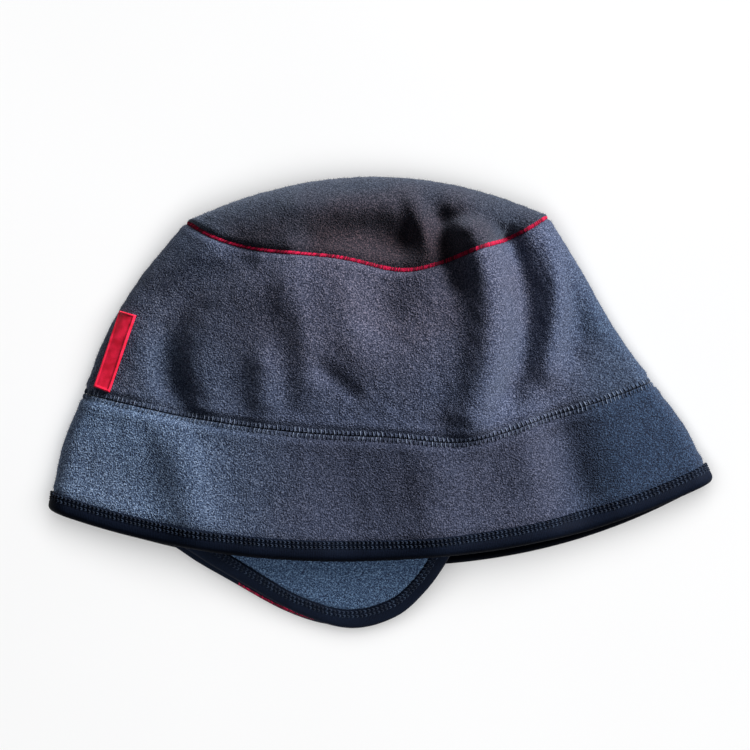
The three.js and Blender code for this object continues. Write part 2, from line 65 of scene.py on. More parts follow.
LOG = logging.getLogger("fleece_cap")
MM = 0.001

# Thickness of each cloth, the gap between pieces that touch and how far a tape reaches up the cloth, all as
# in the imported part
FLEECE = 2.6
FLAP_FLEECE = 2.4
TAPE = 1.0
GAP = 0.3
TAPE_LEG = 6.0

# The loose fibres: length, radius and least spacing, how many stand on a square metre, how far they lean in
# radians, and the heights over the table between which they start
NAP_LENGTH = 1.0
NAP_RADIUS = 0.06
NAP_SPACING = 0.75
NAP_DENSITY = 0.9e6
NAP_LEAN = 1.3
NAP_START = (1.2, 2.0)

# Least height of a stitch's middle line over the table, how far a stitch stands off a tape's inner face, and
# the angle round the edge at which the red loops run
PRESSED_THREAD = 0.57
TAPE_TOP = GAP + TAPE - 0.1
RED_ANGLE = 0.42

# Names of the ear flaps, which their pieces' names start with
NEAR_FLAP = "ear_flap_right"
FAR_FLAP = "ear_flap_left"

# Where the painted light at the nape end fades out and where the painted shade at the forehead end starts, in
# metres
NAPE_PAINTED_LIGHT_SPAN = (-0.125, -0.02)
FOREHEAD_PAINTED_SHADE_SPAN = (0.068, 0.102)

# The middle of the brown painted shade in metres, how fast it falls off along X and Y, and where that starts
# and ends
BROWN_SHADE_MIDDLE = (-0.012, 0.044)
BROWN_SHADE_FALL = (160.0, 620.0)
BROWN_SHADE_RANGE = (0.45, 1.25)
PATCH_RANGE = (0.48, 0.66)

# Scale of the fleece's curls, pebbles, hairs and brown patches, and the share of the first three in its grain
CURL_SCALE, PEBBLE_SCALE, HAIR_SCALE, PATCH_SCALE = 1600.0, 1400.0, 2600.0, 17.0
CURL_SHARE, PEBBLE_SHARE, HAIR_SHARE = 0.56, 0.22, 0.22
SEAM_DARKENING = 0.35

# About how long the cloth is from one station to the next, and two short lengths in stations
STATION_LENGTH = 50.0
SEAM_STEP = GAP / 2 / STATION_LENGTH
TAPE_LEG_STATION = TAPE_LEG / STATION_LENGTH

# Stations of the rim and of the two seams
RIM = 0.0
BAND_SEAM = 1.0
CROWN_SEAM = 2.0


@dataclass(frozen=True)
class Ring:
    """A level ring round the cap seen from above: its folded ends, the sag of both walls and its height."""

    station: float
    left_x: float
    left_y: float
    right_x: float
    right_y: float
    front_sag: float
    front_skew: float
    front_power: float
    rear_sag: float
    rear_skew: float
    rear_power: float
    lift: float
    lift_power: float
    left_fold: float
    right_fold: float


RINGS = (
    Ring(0.00, -144.6, -45.2, 144.6, -32.6, 27.2, 0.05, 2.2, 31.5, 0.12, 2.25, 11, 2.2, 7.4, 6.6),
    Ring(0.50, -140.6, -21.0, 134.6, -11.5, 24.5, 0.12, 2.1, 26.0, 0.10, 2.4, 12.5, 2.6, 7.0, 6.2),
    Ring(1.00, -130.8, 3.8, 119.5, 9.0, 21.2, 0.20, 2.0, 21.0, 0.08, 2.2, 13, 2.9, 6.8, 6.0),
    Ring(1.33, -121.2, 28.9, 102.7, 33.1, 19.5, 0.15, 2.4, 19.5, 0.06, 2.4, 13.5, 3.1, 7.0, 6.4),
    Ring(1.67, -106.0, 54.3, 88.4, 58.0, 17.0, 0.08, 3.0, 18.5, 0.03, 3.0, 13.5, 3.2, 7.4, 7.0),
    Ring(2.00, -84.8, 79.2, 73.2, 81.6, 15.6, 0.00, 4.0, 17.5, 0.00, 4.0, 10, 3.2, 8.0, 8.0),
)


@dataclass(frozen=True)
class SeamDip:
    """A stretch where a front seam hangs lower. along is -1 at the left end and 1 at the right."""

    station: float
    along: float
    width: float
    depth: float
    reach: float


SEAM_DIPS = (
    SeamDip(BAND_SEAM, 0.37, 0.2, 5.5, 0.45),
    SeamDip(CROWN_SEAM, 0.24, 0.32, 8.0, 0.5),
)


@dataclass(frozen=True)
class Fold:
    """A soft ridge or hollow along a bowed line, with a rounded section and a height at each end."""

    name: str
    x0: float
    y0: float
    x1: float
    y1: float
    bow: float
    width: float
    start: float
    end: float


FOLDS = (
    Fold("main ridge", 40, 73, 39.5, -5, 8, 10, 13, 8),
    Fold("between ridges", 57, 68, 56.5, 4.5, 6.5, 6.5, -8, -6),
    Fold("second ridge", 76.5, 68, 72.5, 15, 2.5, 5.5, 6, 3.5),
    Fold("past both ridges", 88.5, 60, 85, 22.5, 2, 6.5, -4.5, -3.5),
    Fold("crease over ridge", 29, 79.5, 53, 73, 4, 4, -4.5, -4.5),
    Fold("crown ridge", 14, 87, 20, 68, 0, 4.6, 4.5, 2),
    Fold("crown dip", 25, 80, 31.5, 53, 0, 6, -5.5, -3.5),
    Fold("crown hollow", -39, 63.5, 8, 71, 5, 8.5, -5, -7),
    Fold("crown crest", -36, 85, 2, 85, 0, 6.5, 3.5, 3.5),
    Fold("pinched hollow", 4.5, 60, 0, 44, 0, 15, -7, -7.5),
    Fold("ridge by the hollow", -38, 63, -40, 46, 0, 7, 3.5, 2.5),
    Fold("middle swell", -35, 49, 8.5, 31.5, 0, 38, 6.5, 6.5),
    Fold("left hollow", -60, 59, -87.5, -1, -18, 10.5, -5, -5.5),
    Fold("left swell", -51.5, 59, -74.5, 1, -17.5, 12, 1.5, 1.5),
    Fold("left ridge", -76, 66, -101.5, 27, -2, 8, 2, 2),
    Fold("low left ridge", -50.5, 15.5, -50.5, 1.5, 0, 7, 3.5, 3.5),
    Fold("left column", -33.5, 35, -32, 8, 0, 7, 2.5, 2.5),
    Fold("right column", -13.5, 40, -8, 20, 0, 10, 2.5, 2.5),
    Fold("slanting dip", -25.5, 14.5, -12, 4, 0, 3.6, -1.5, -1.5),
    Fold("band ridge, left", -90, -13, -82, -46.5, 0, 10, 3.6, 3.6),
    Fold("band dip, mid", -15.5, -38, -13.5, -54, 0, 13, -2.2, -2.2),
    Fold("band ridge, mid", 23, -31, 23, -52, 0, 13, 4.5, 4),
    Fold("band ridge, right", 64, -8, 64, -28, 0, 8, 2, 2),
    Fold("band dip, far", 81, -17.5, 86, -39, 0, 12, -7, -7),
)

# How much softer a fold is at its ends than across it, and how far from the outline folds fade
FOLD_END_STRETCH = 1.2
FOLD_FADE = 14.0

# How far the crown panel rises above its seam's ends, the height of the fold along its top, and its swell
CROWN_RISE = 18.0
CROWN_FOLD_Z = 15.0
CROWN_CREST = 4.0

# How high the rear wall lies off the ground at the rim and at the crown, and between which stations
RIM_LIFT = 1.35
RIM_LIFT_FALL = (0.15, 0.45)
CROWN_LIFT = 4.0
CROWN_LIFT_START = 1.6

# Points on a flap's raw edge and the ends of its sewn top, then the corners of the tab, seen from above
FLAP_EDGE = (
    (-107, -13), (-102.5, -36.5), (-91.5, -55), (-78.3, -65.6), (-59.6, -77.4), (-35.8, -91),
    (-13.5, -97.2), (6, -92.4), (18.6, -81.2), (28, -66.5), (37, -46), (43, -23),
)
FLAP_TOP_LEFT = (-62.0, -18.0)
FLAP_TOP_RIGHT = (4.0, -22.0)
TAB_TOP_LEFT = (-113.4, 39.4)
TAB_TOP_RIGHT = (-106.4, 37.6)
TAB_BOTTOM_LEFT = (-125.0, 6.4)
TAB_BOTTOM_RIGHT = (-118.2, 4.0)


class Wall(Enum):
    """The two walls of the flattened cap."""

    FRONT = "front"
    REAR = "rear"


def lerp(start: Array, end: Array, share: Array) -> Array:
    """The value a share of the way from start to end."""
    return start + (end - start) * share


def smooth(x: Array, low: float = 0.0, high: float = 1.0) -> Array:
    """A smooth step from 0 at low to 1 at high."""
    t = np.clip((x - low) / (high - low), 0.0, 1.0)
    return t * t * (3.0 - 2.0 * t)


def unit(vectors: Array) -> Array:
    """The vectors at length 1."""
    return vectors / np.maximum(np.linalg.norm(vectors, axis=-1, keepdims=True), 1e-9)


def hermite(t: Array, ends: tuple, slopes: tuple, span: "Array | float" = 1.0) -> Array:
    """A smooth curve between two ends with given slopes, where t runs from 0 to 1 over a span."""
    start = (2 * t**3 - 3 * t**2 + 1) * ends[0] + (t**3 - 2 * t**2 + t) * slopes[0] * span
    return start + (3 * t**2 - 2 * t**3) * ends[1] + (t**3 - t**2) * slopes[1] * span


class CapForm:
    """The cap's outer face as a function of a turn round it and a station up it.

    Turns 0 to 1 are the left fold's upper quarter, 1 to 2 the front wall, 2 to 4 the right fold, 4 to 5
    the rear wall and 5 to 6 the left fold's lower quarter.
    """

    def __init__(self) -> None:
        """Reads the ring table into columns."""
        names = [column.name for column in fields(Ring)]
        self.columns = {name: np.array([float(getattr(ring, name)) for ring in RINGS]) for name in names}
        self.stations = self.columns["station"]

    def value(self, name: str, station: Array) -> Array:
        """A ring value at any station, on a smooth curve through the table.

        Args:
            name: The column of the ring table.
            station: Stations, from 0 at the rim to 2 at the crown seam.

        Returns:
            The value at each station.
        """
        rows = self.columns[name]
        last = len(rows) - 1
        low = np.maximum(np.arange(last + 1) - 1, 0)
        high = np.minimum(np.arange(last + 1) + 1, last)
        slope = (rows[high] - rows[low]) / (self.stations[high] - self.stations[low])
        k = np.clip(np.searchsorted(self.stations, station, side="left") - 1, 0, last - 1)
        span = self.stations[k + 1] - self.stations[k]
        t = (station - self.stations[k]) / span
        return hermite(t, (rows[k], rows[k + 1]), (slope[k], slope[k + 1]), span)

    def half_width(self, station: Array) -> Array:
        """Half the ring's width at a station."""
        return (self.value("right_x", station) - self.value("left_x", station)) / 2

    def centre_x(self, station: Array) -> Array:
        """The middle of the ring in X at a station."""
        return (self.value("right_x", station) + self.value("left_x", station)) / 2

    def wall_y(self, along: Array, station: Array, wall: Wall) -> Array:
        """How high up the plan a wall runs at a place along the ring.

        Args:
            along: Places from -1 at the left end to 1 at the right.
            station: Stations.
            wall: The front or the rear wall.

        Returns:
            Y of the wall, in millimetres.
        """
        chord = lerp(self.value("left_y", station), self.value("right_y", station), (along + 1) / 2)
        skew = 1 + self.value(f"{wall.value}_skew", station) * along
        power = self.value(f"{wall.value}_power", station)
        even = chord - self.value(f"{wall.value}_sag", station) * skew * (1 - np.abs(along) ** power)
        if wall is Wall.REAR:
            return even
        dip = 0.0
        for row in SEAM_DIPS:
            near = smooth(1 - np.abs(station - row.station) / row.reach)
            dip = dip + row.depth * np.exp(-(((along - row.along) / row.width) ** 2)) * near
        return even - dip * (1 - along**2)

    def fold_height(self, x: Array, y: Array) -> Array:
        """The sum of all ridges and hollows at places on the front wall."""
        height = np.zeros(np.broadcast(x, y).shape)
        for fold in FOLDS:
            run_x, run_y = fold.x1 - fold.x0, fold.y1 - fold.y0
            length = math.hypot(run_x, run_y)
            t = ((x - fold.x0) * run_x + (y - fold.y0) * run_y) / length**2
            inside = np.clip(t, 0, 1)
            side = ((y - fold.y0) * run_x - (x - fold.x0) * run_y) / length
            off_line = (side - 4 * fold.bow * inside * (1 - inside)) / fold.width
            past_end = (t - inside) * length / (FOLD_END_STRETCH * fold.width)
            height += lerp(fold.start, fold.end, inside) * np.exp(-(off_line**2) - past_end**2)
        return height

    def rear_lift(self, station: Array) -> Array:
        """How high the rear wall's outer face lies above the ground."""
        rim = RIM_LIFT * (1 - smooth(station, *RIM_LIFT_FALL))
        return rim + CROWN_LIFT * smooth(station, CROWN_LIFT_START, CROWN_SEAM)

    def point(self, turn: Array, station: Array) -> Array:
        """Points of the outer face.

        Args:
            turn: Turns round the cap.
            station: Stations up the cap.

        Returns:
            Points in millimetres, with the coordinates in the last axis.
        """
        turn, station = np.broadcast_arrays(np.asarray(turn, float) % 6, np.asarray(station, float))
        front = turn <= 3
        walk = np.where(front, turn, 6 - turn)
        half = self.half_width(station)
        left_fold, right_fold = self.value("left_fold", station), self.value("right_fold", station)
        angle = np.where(walk < 1, walk, np.where(walk > 2, 3 - walk, 1)) * math.pi / 2
        rise = np.sin(angle)
        along = lerp(left_fold / half - 1, 1 - right_fold / half, walk - 1)
        along = np.where(walk < 1, left_fold * (1 - np.cos(angle)) / half - 1, along)
        along = np.where(walk > 2, 1 - right_fold * (1 - np.cos(angle)) / half, along)
        fold = lerp(left_fold, right_fold, np.clip(walk - 1, 0, 1))
        x = self.centre_x(station) + half * along
        front_y = self.wall_y(along, station, Wall.FRONT)
        rear_y = self.wall_y(along, station, Wall.REAR)
        lift = self.value("lift", station) * (1 - np.abs(along) ** self.value("lift_power", station))
        relief = self.fold_height(x, front_y) * smooth(half * (1 - np.abs(along)), 0, FOLD_FADE)
        ground = self.rear_lift(station)
        upper = ground + fold * (1 + rise) + lift + relief
        lower = ground + fold * (1 - rise)
        return np.stack([x, np.where(front, front_y, rear_y), np.where(front, upper, lower)], axis=-1)

    def normal(self, turn: Array, station: Array) -> Array:
        """Outward normals of the outer face."""
        turn_step, station_step = 0.008, 0.02
        by_turn = self.point(turn + turn_step, station) - self.point(turn - turn_step, station)
        by_station = self.point(turn, station + station_step) - self.point(turn, station - station_step)
        return unit(np.cross(by_turn, by_station))

    def front_place(self, x: Array, y: Array) -> tuple[Array, Array]:
        """The turn and station of the front wall below places seen from above.

        Args:
            x: X of the places, in millimetres.
            y: Y of the places, in millimetres.

        Returns:
            Turns and stations. A place below the rim is moved up to it.
        """
        low = np.full(np.shape(x), RIM)
        high = np.full(np.shape(x), CROWN_SEAM)
        halvings = 26
        for _ in range(halvings):
            middle = (low + high) / 2
            along = (x - self.centre_x(middle)) / self.half_width(middle)
            below = self.wall_y(along, middle, Wall.FRONT) < y
            low, high = np.where(below, middle, low), np.where(below, high, middle)
        half = self.half_width(low)
        along = (x - self.centre_x(low)) / half
        left_stop = self.value("left_fold", low) / half - 1
        right_stop = 1 - self.value("right_fold", low) / half
        return 1 + (along - left_stop) / (right_stop - left_stop), low

    def below_rim(self, x: Array, y: Array, wall: Wall) -> Array:
        """How far below a wall's rim places lie, negative above it."""
        rim = np.full(np.shape(x), RIM)
        return self.wall_y((x - self.centre_x(rim)) / self.half_width(rim), rim, wall) - y

    def crown_point(self, turn: Array, wall: Wall, angle: Array) -> Array:
        """Points of the crown panel.

        Args:
            turn: Turns of the front half of the crown seam, 0 to 3.
            wall: The wall whose seam the panel starts from.
            angle: 0 at the seam and a quarter turn at the fold along the top, in radians.

        Returns:
            Points in millimetres.
        """
        turn, angle = np.broadcast_arrays(np.asarray(turn, float), np.asarray(angle, float))
        station = np.full(turn.shape, CROWN_SEAM)
        seam = self.point(turn if wall is Wall.FRONT else 6 - turn, station)
        half = self.half_width(station)
        along = (seam[..., 0] - self.centre_x(station)) / half
        middle = 1 - along**2
        ends = lerp(self.value("left_y", station), self.value("right_y", station), (along + 1) / 2)
        end_z = self.rear_lift(station) + self.value("left_fold", station)
        fold_z = end_z + (CROWN_FOLD_Z - end_z) * middle
        y = lerp(seam[..., 1], ends + CROWN_RISE * middle, np.sin(angle))
        z = lerp(fold_z, seam[..., 2], np.cos(angle))
        if wall is Wall.FRONT:
            fade = smooth(half * (1 - np.abs(along)), 0, FOLD_FADE) * np.cos(angle)
            relief = self.fold_height(seam[..., 0], y) - self.fold_height(seam[..., 0], seam[..., 1])
            z = z + relief * fade + CROWN_CREST * np.sin(2 * angle) * middle
        return np.stack([seam[..., 0], y, z], axis=-1)


@dataclass(frozen=True)
class NearFlapLie:
    """Heights of the flap under the front wall: it follows the wall, then comes down to its tip."""

    sewn_drop: float = 4.4
    rim_drop: float = 6.4
    drop_length: float = 16.0
    tip_z: float = 9.2
    fall_length: float = 32.0

    def height(self, form: CapForm, x: Array, y: Array) -> Array:
        """Z of the flap's upper face at places seen from above."""
        top_y = (FLAP_TOP_LEFT[1] + FLAP_TOP_RIGHT[1]) / 2
        drop = lerp(self.sewn_drop, self.rim_drop, smooth(top_y - y, 0, self.drop_length))
        under = form.point(*form.front_place(x, y))[..., 2] - drop
        return lerp(under, self.tip_z, smooth(form.below_rim(x, y, Wall.FRONT), 0, self.fall_length))


@dataclass(frozen=True)
class FarFlapLie:
    """Heights of the flap on the rear wall: it climbs over the rim's tape and lies on the ground."""

    sewn_z: float = 6.8
    rim_z: float = 9.3
    climb_start: float = 30.0
    climb_end: float = 9.0
    tip_z: float = 3.8
    fall_start: float = 4.0
    fall_length: float = 20.0

    def height(self, form: CapForm, x: Array, y: Array) -> Array:
        """Z of the flap's upper face at places seen from above."""
        below = form.below_rim(x, y, Wall.REAR)
        climb = smooth(below, -self.climb_start, -self.climb_end)
        fall = smooth(below, self.fall_start, self.fall_start + self.fall_length)
        return lerp(lerp(self.sewn_z, self.rim_z, climb), self.tip_z, fall)


class FlapForm:
    """A flap's upper face. u runs along its edge from left to right, t from the sewn top to the edge."""

    def __init__(self, form: CapForm, lie: NearFlapLie | FarFlapLie, shift: tuple[float, float]) -> None:
        """Keeps the cap the flap lies in, its heights and how far it is shifted in the plan."""
        self.form = form
        self.lie = lie
        self.shift = shift

    def edge(self, u: Array) -> Array:
        """Places on the raw edge, on a smooth curve through its points."""
        points = np.array(FLAP_EDGE, float)
        last = len(points) - 1
        place = np.clip(u, 0, 1) * last
        k = np.clip(np.floor(place).astype(int), 0, last - 1)
        t = (place - k)[..., None]
        start, end = points[k], points[k + 1]
        slopes = (end - points[np.maximum(k - 1, 0)]) / 2, (points[np.minimum(k + 2, last)] - start) / 2
        return hermite(t, (start, end), slopes)

    def point(self, u: Array, t: Array) -> Array:
        """Points of the upper face, in millimetres."""
        u, t = np.broadcast_arrays(np.asarray(u, float), np.asarray(t, float))
        end = self.edge(u)
        x = lerp(lerp(FLAP_TOP_LEFT[0], FLAP_TOP_RIGHT[0], u), end[..., 0], t) + self.shift[0]
        y = lerp(lerp(FLAP_TOP_LEFT[1], FLAP_TOP_RIGHT[1], u), end[..., 1], t) + self.shift[1]
        return np.stack([x, y, self.lie.height(self.form, x, y)], axis=-1)

    def normal(self, u: Array, t: Array) -> Array:
        """Upward normals of the upper face."""
        u_step, t_step = 0.01, 0.02
        by_u = self.point(u + u_step, t) - self.point(u - u_step, t)
        by_t = self.point(u, t + t_step) - self.point(u, t - t_step)
        return unit(np.cross(by_t, by_u))

    def column_length(self, u: Array) -> Array:
        """How long the flap is from its sewn top to its edge."""
        return np.linalg.norm(self.point(u, 1.0) - self.point(u, 0.0), axis=-1)


class Ripple:
    """A small smooth unevenness: the sum of waves in all directions, with a fixed seed."""

    def __init__(self, seed: int, wavelength: float, height: float, count: int = 14) -> None:
        """Draws the waves' directions, lengths and phases.

        Args:
            seed: Seed of the draw.
            wavelength: The middle wavelength, in millimetres.
            height: Typical height of the sum, in millimetres.
            count: How many waves are added.
        """
        draw = np.random.default_rng(seed)
        ways = unit(draw.normal(size=(count, 3)))
        self.waves = ways * (2 * math.pi / (wavelength * draw.uniform(0.6, 1.5, (count, 1))))
        self.phases = draw.uniform(0, 2 * math.pi, count)
        self.share = height * math.sqrt(2 / count)

    def at(self, points: Array) -> Array:
        """The unevenness at points given in millimetres."""
        return self.share * np.sin(points @ self.waves.T + self.phases).sum(axis=-1)


def rippled(points: Array, *ripples: tuple[int, float, float]) -> Array:
    """The sum of ripples at points, each given by its seed, wavelength and height."""
    return sum(Ripple(*ripple).at(points) for ripple in ripples)


def run_length(points: Array) -> Array:
    """How far each point of a line, or of a grid's columns, lies from the first one."""
    steps = np.linalg.norm(np.diff(points, axis=0), axis=-1)
    return np.concatenate([np.zeros_like(steps[:1]), np.cumsum(steps, axis=0)])


def distances(points: Array) -> tuple[Array, Array]:
    """How far each point of a grid lies from the first and from the last row, along its column."""
    run = run_length(points)
    return run, run[-1:] - run


def bump(distance: Array, centre: float, width: float) -> Array:
    """A rounded bump of height 1 at a distance."""
    return np.exp(-(((distance - centre) / width) ** 2))


def rounded_edge(distance: Array, radius: float) -> Array:
    """How far a rounded edge falls away near its end."""
    share = 1 - np.clip(distance / radius, 0, 1)
    return radius * (1 - np.sqrt(1 - share**2))


def cover_seam_profile(distance: Array) -> Array:
    """Height of the fleece beside a flat cover stitched seam: a pressed zone between two stitch rows."""
    swell = 0.4 * bump(distance, centre=4.8, width=2.2)
    flat = 0.4 * (1 - smooth(distance, low=2.1, high=3.2))
    thread_groove = 0.2 * bump(distance, centre=2.4, width=0.4)
    return swell - (flat + thread_groove) - rounded_edge(distance, radius=0.2)


def crown_seam_profile(distance: Array) -> Array:
    """Height of the fleece beside the red seam, which pulls it into a groove."""
    swell = 0.35 * bump(distance, centre=3.4, width=1.8)
    groove = 0.9 * bump(distance, centre=0, width=1.3)
    return swell - groove - rounded_edge(distance, radius=0.4)


def below_tape_profile(distance: Array) -> Array:
    """Height of the fleece at a distance from its raw edge, where the tape's end presses it down."""
    return 0.55 * bump(distance, centre=TAPE_LEG + 2.2, width=1.7)


def clustered(start: float, end: float, count: int, margin: float) -> Array:
    """Values from start to end, with a few more close to both ends for rounded edges."""
    close = margin * np.array([0, 0.08, 0.2, 0.36, 0.56, 0.78])
    inside = np.linspace(start + margin, end - margin, count)
    return np.concatenate([start + close, inside, end - close[::-1]])


def new_object(name: str, data: object) -> Piece:
    """A new object of the scene, given its mesh, lamp or camera."""
    made = bpy.data.objects.new(name, data)
    bpy.context.scene.collection.objects.link(made)
    return made


def as_mesh(name: str, corners: Array, faces: list[tuple[int, ...]]) -> Piece:
    """A new object with a smooth mesh.

    Args:
        name: The object's name.
        corners: Its corners, in millimetres.
        faces: Corner numbers of each face, anticlockwise from outside.

    Returns:
        The object, linked to the scene.
    """
    mesh = bpy.data.meshes.new(name)
    mesh.from_pydata((corners * MM).tolist(), [], faces)
    mesh.shade_smooth()
    return new_object(name, mesh)


def shell(
    name: str,
    outer: Array,
    inner: Array,
    closed: bool,
    seam: Array | None = None,
    bare: Array | None = None,
    merged: bool = False,
) -> Piece:
    """A closed shell between two grids of points.

    Args:
        name: The object's name.
        outer: Grid of the outer face: rows go up, columns go to the right as seen from outside.
        inner: Grid of the inner face, of the same shape.
        closed: Whether each row is a ring.
        seam: How near each outer point is to a seam, from 0 to 1.
        bare: Where the outer face has no loose fibres, from 0 to 1.
        merged: Whether corners that fall together are merged.

    Returns:
        The object. Its attribute nap is 1 where fibres stand on it, and seam marks the seams.
    """
    rows, columns = outer.shape[:2]
    index = np.arange(rows * columns).reshape(rows, columns)
    left, right = (index, np.roll(index, -1, axis=1)) if closed else (index[:, :-1], index[:, 1:])
    back_left, back_right = left + index.size, right + index.size
    quads = [
        (left[:-1], right[:-1], right[1:], left[1:]),
        (back_left[:-1], back_left[1:], back_right[1:], back_right[:-1]),
        (left[0], back_left[0], back_right[0], right[0]),
        (left[-1], right[-1], back_right[-1], back_left[-1]),
    ]
    if not closed:
        first, last = index[:, 0], index[:, -1]
        back_first, back_last = first + index.size, last + index.size
        quads.append((first[:-1], first[1:], back_first[1:], back_first[:-1]))
        quads.append((last[:-1], back_last[:-1], back_last[1:], last[1:]))
    faces = np.concatenate([np.stack(quad, axis=-1).reshape(-1, 4) for quad in quads])
    corners = np.concatenate([outer.reshape(-1, 3), inner.reshape(-1, 3)])
    corners[:, 2] = np.maximum(corners[:, 2], 0)
    made = as_mesh(name, corners, faces.tolist())
    near = np.zeros((rows, columns)) if seam is None else seam
    nap = np.ones((rows, columns)) if bare is None else 1 - bare
    for label, values in (("nap", nap * smooth(outer[..., 2], *NAP_START)), ("seam", near)):
        attribute = made.data.attributes.new(label, "FLOAT", "POINT")
        both = np.concatenate([values.ravel(), np.zeros(index.size)])
        attribute.data.foreach_set("value", both.astype(np.float32))
    if merged:
        work = bmesh.new()
        work.from_mesh(made.data)
        bmesh.ops.remove_doubles(work, verts=work.verts, dist=2e-6)
        bmesh.ops.dissolve_degenerate(work, edges=work.edges, dist=1e-7)
        work.to_mesh(made.data)
        work.free()
    return made


class NodeTree:
    """A node tree that is built by calls."""

    def __init__(self, tree: bpy.types.NodeTree) -> None:
        """Keeps the tree."""
        self.tree = tree

    def node(self, kind: str, settings: dict | None = None, inputs: dict | None = None) -> bpy.types.Node:
        """Adds a node.

        Args:
            kind: The node's type.
            settings: Its properties. stops holds a ramp's positions and colours.
            inputs: Values or links of its sockets, by name or number.

        Returns:
            The node.
        """
        made = self.tree.nodes.new(kind)
        for name, value in (settings or {}).items():
            if name == "stops":
                self.set_stops(made, value)
            else:
                setattr(made, name, value)
        for key, value in (inputs or {}).items():
            if isinstance(value, Value):
                value = value.socket
            if isinstance(value, Socket):
                self.tree.links.new(value, made.inputs[key])
            else:
                made.inputs[key].default_value = value
        return made

    @staticmethod
    def set_stops(ramp: bpy.types.Node, stops: list[tuple[float, tuple]]) -> None:
        """Sets the stops of a colour ramp."""
        elements = ramp.color_ramp.elements
        while len(elements) < len(stops):
            elements.new(0.5)
        for element, (position, colour) in zip(elements, stops):
            element.position = position
            element.color = colour

    def read(self, kind: str, settings: dict, inputs: dict, output: "int | str" = 0) -> "Value":
        """Adds a node as node does, and gives one of its outputs for expressions."""
        return Value(self, self.node(kind, settings, inputs).outputs[output])

    def math(self, operation: str, *values: object, clamp: bool = False) -> "Value":
        """Adds a Math node and gives its result."""
        settings = {"operation": operation, "use_clamp": clamp}
        return self.read("ShaderNodeMath", settings, dict(enumerate(values)))


class Value:
    """A socket that takes part in Python expressions, each of which adds a Math node."""

    def __init__(self, tree: NodeTree, socket: Socket) -> None:
        """Keeps the socket and its tree."""
        self.tree = tree
        self.socket = socket

    def __add__(self, other: "Value | float") -> "Value":
        """The sum."""
        return self.tree.math("ADD", self, other)

    __radd__ = __add__

    def __sub__(self, other: "Value | float") -> "Value":
        """The difference."""
        return self.tree.math("SUBTRACT", self, other)

    def __rsub__(self, other: float) -> "Value":
        """The difference the other way round."""
        return self.tree.math("SUBTRACT", other, self)

    def __mul__(self, other: "Value | float") -> "Value":
        """The product."""
        return self.tree.math("MULTIPLY", self, other)

    def __pow__(self, other: float) -> "Value":
        """The power."""
        return self.tree.math("POWER", self, other)

    def between(self, low: float, high: float) -> "Value":
        """A smooth step from 0 at low to 1 at high."""
        inputs = {"Value": self, "From Min": low, "From Max": high}
        return self.tree.read("ShaderNodeMapRange", {"interpolation_type": "SMOOTHSTEP"}, inputs, "Result")

    def clamped(self) -> "Value":
        """The value kept between 0 and 1."""
        return self.tree.math("ADD", self, 0.0, clamp=True)


class Shader(NodeTree):
    """The node tree of a material."""

    def __init__(self, name: str) -> None:
        """Makes an empty material."""
        self.material = bpy.data.materials.new(name)
        self.material.use_nodes = True
        super().__init__(self.material.node_tree)
        self.tree.nodes.clear()
        self.place = self.node("ShaderNodeTexCoord").outputs["Object"]

    def noise(self, scale: float, detail: float, roughness: float, distortion: float = 0.0) -> Value:
        """A noise of the given scale on the object's coordinates."""
        inputs = {"Vector": self.place, "Scale": scale, "Detail": detail, "Roughness": roughness}
        return self.read("ShaderNodeTexNoise", {}, {**inputs, "Distortion": distortion})

    def mix(self, share: "Value | float", first: object, second: object, blend: str = "MIX") -> Value:
        """A blend of two colours, or of a colour and a link."""
        settings = {"data_type": "RGBA", "blend_type": blend}
        return self.read("ShaderNodeMix", settings, {0: share, 6: first, 7: second}, 2)

    def times(self, first: object, second: object) -> Value:
        """The product of two colours."""
        return self.mix(1.0, first, second, "MULTIPLY")

    def attribute(self, name: str) -> Value:
        """A number stored on the mesh."""
        return self.read("ShaderNodeAttribute", {"attribute_name": name}, {}, "Fac")

    def bumped(self, height: Value, distance: float, strength: float) -> Value:
        """A normal bent by a height."""
        return self.read("ShaderNodeBump", {}, {"Height": height, "Distance": distance, "Strength": strength})

    def finish(self, inputs: dict) -> Material:
        """Adds the surface shader and the output, and gives the material."""
        surface = self.node("ShaderNodeBsdfPrincipled", {}, inputs)
        self.node("ShaderNodeOutputMaterial", {}, {"Surface": surface.outputs[0]})
        return self.material


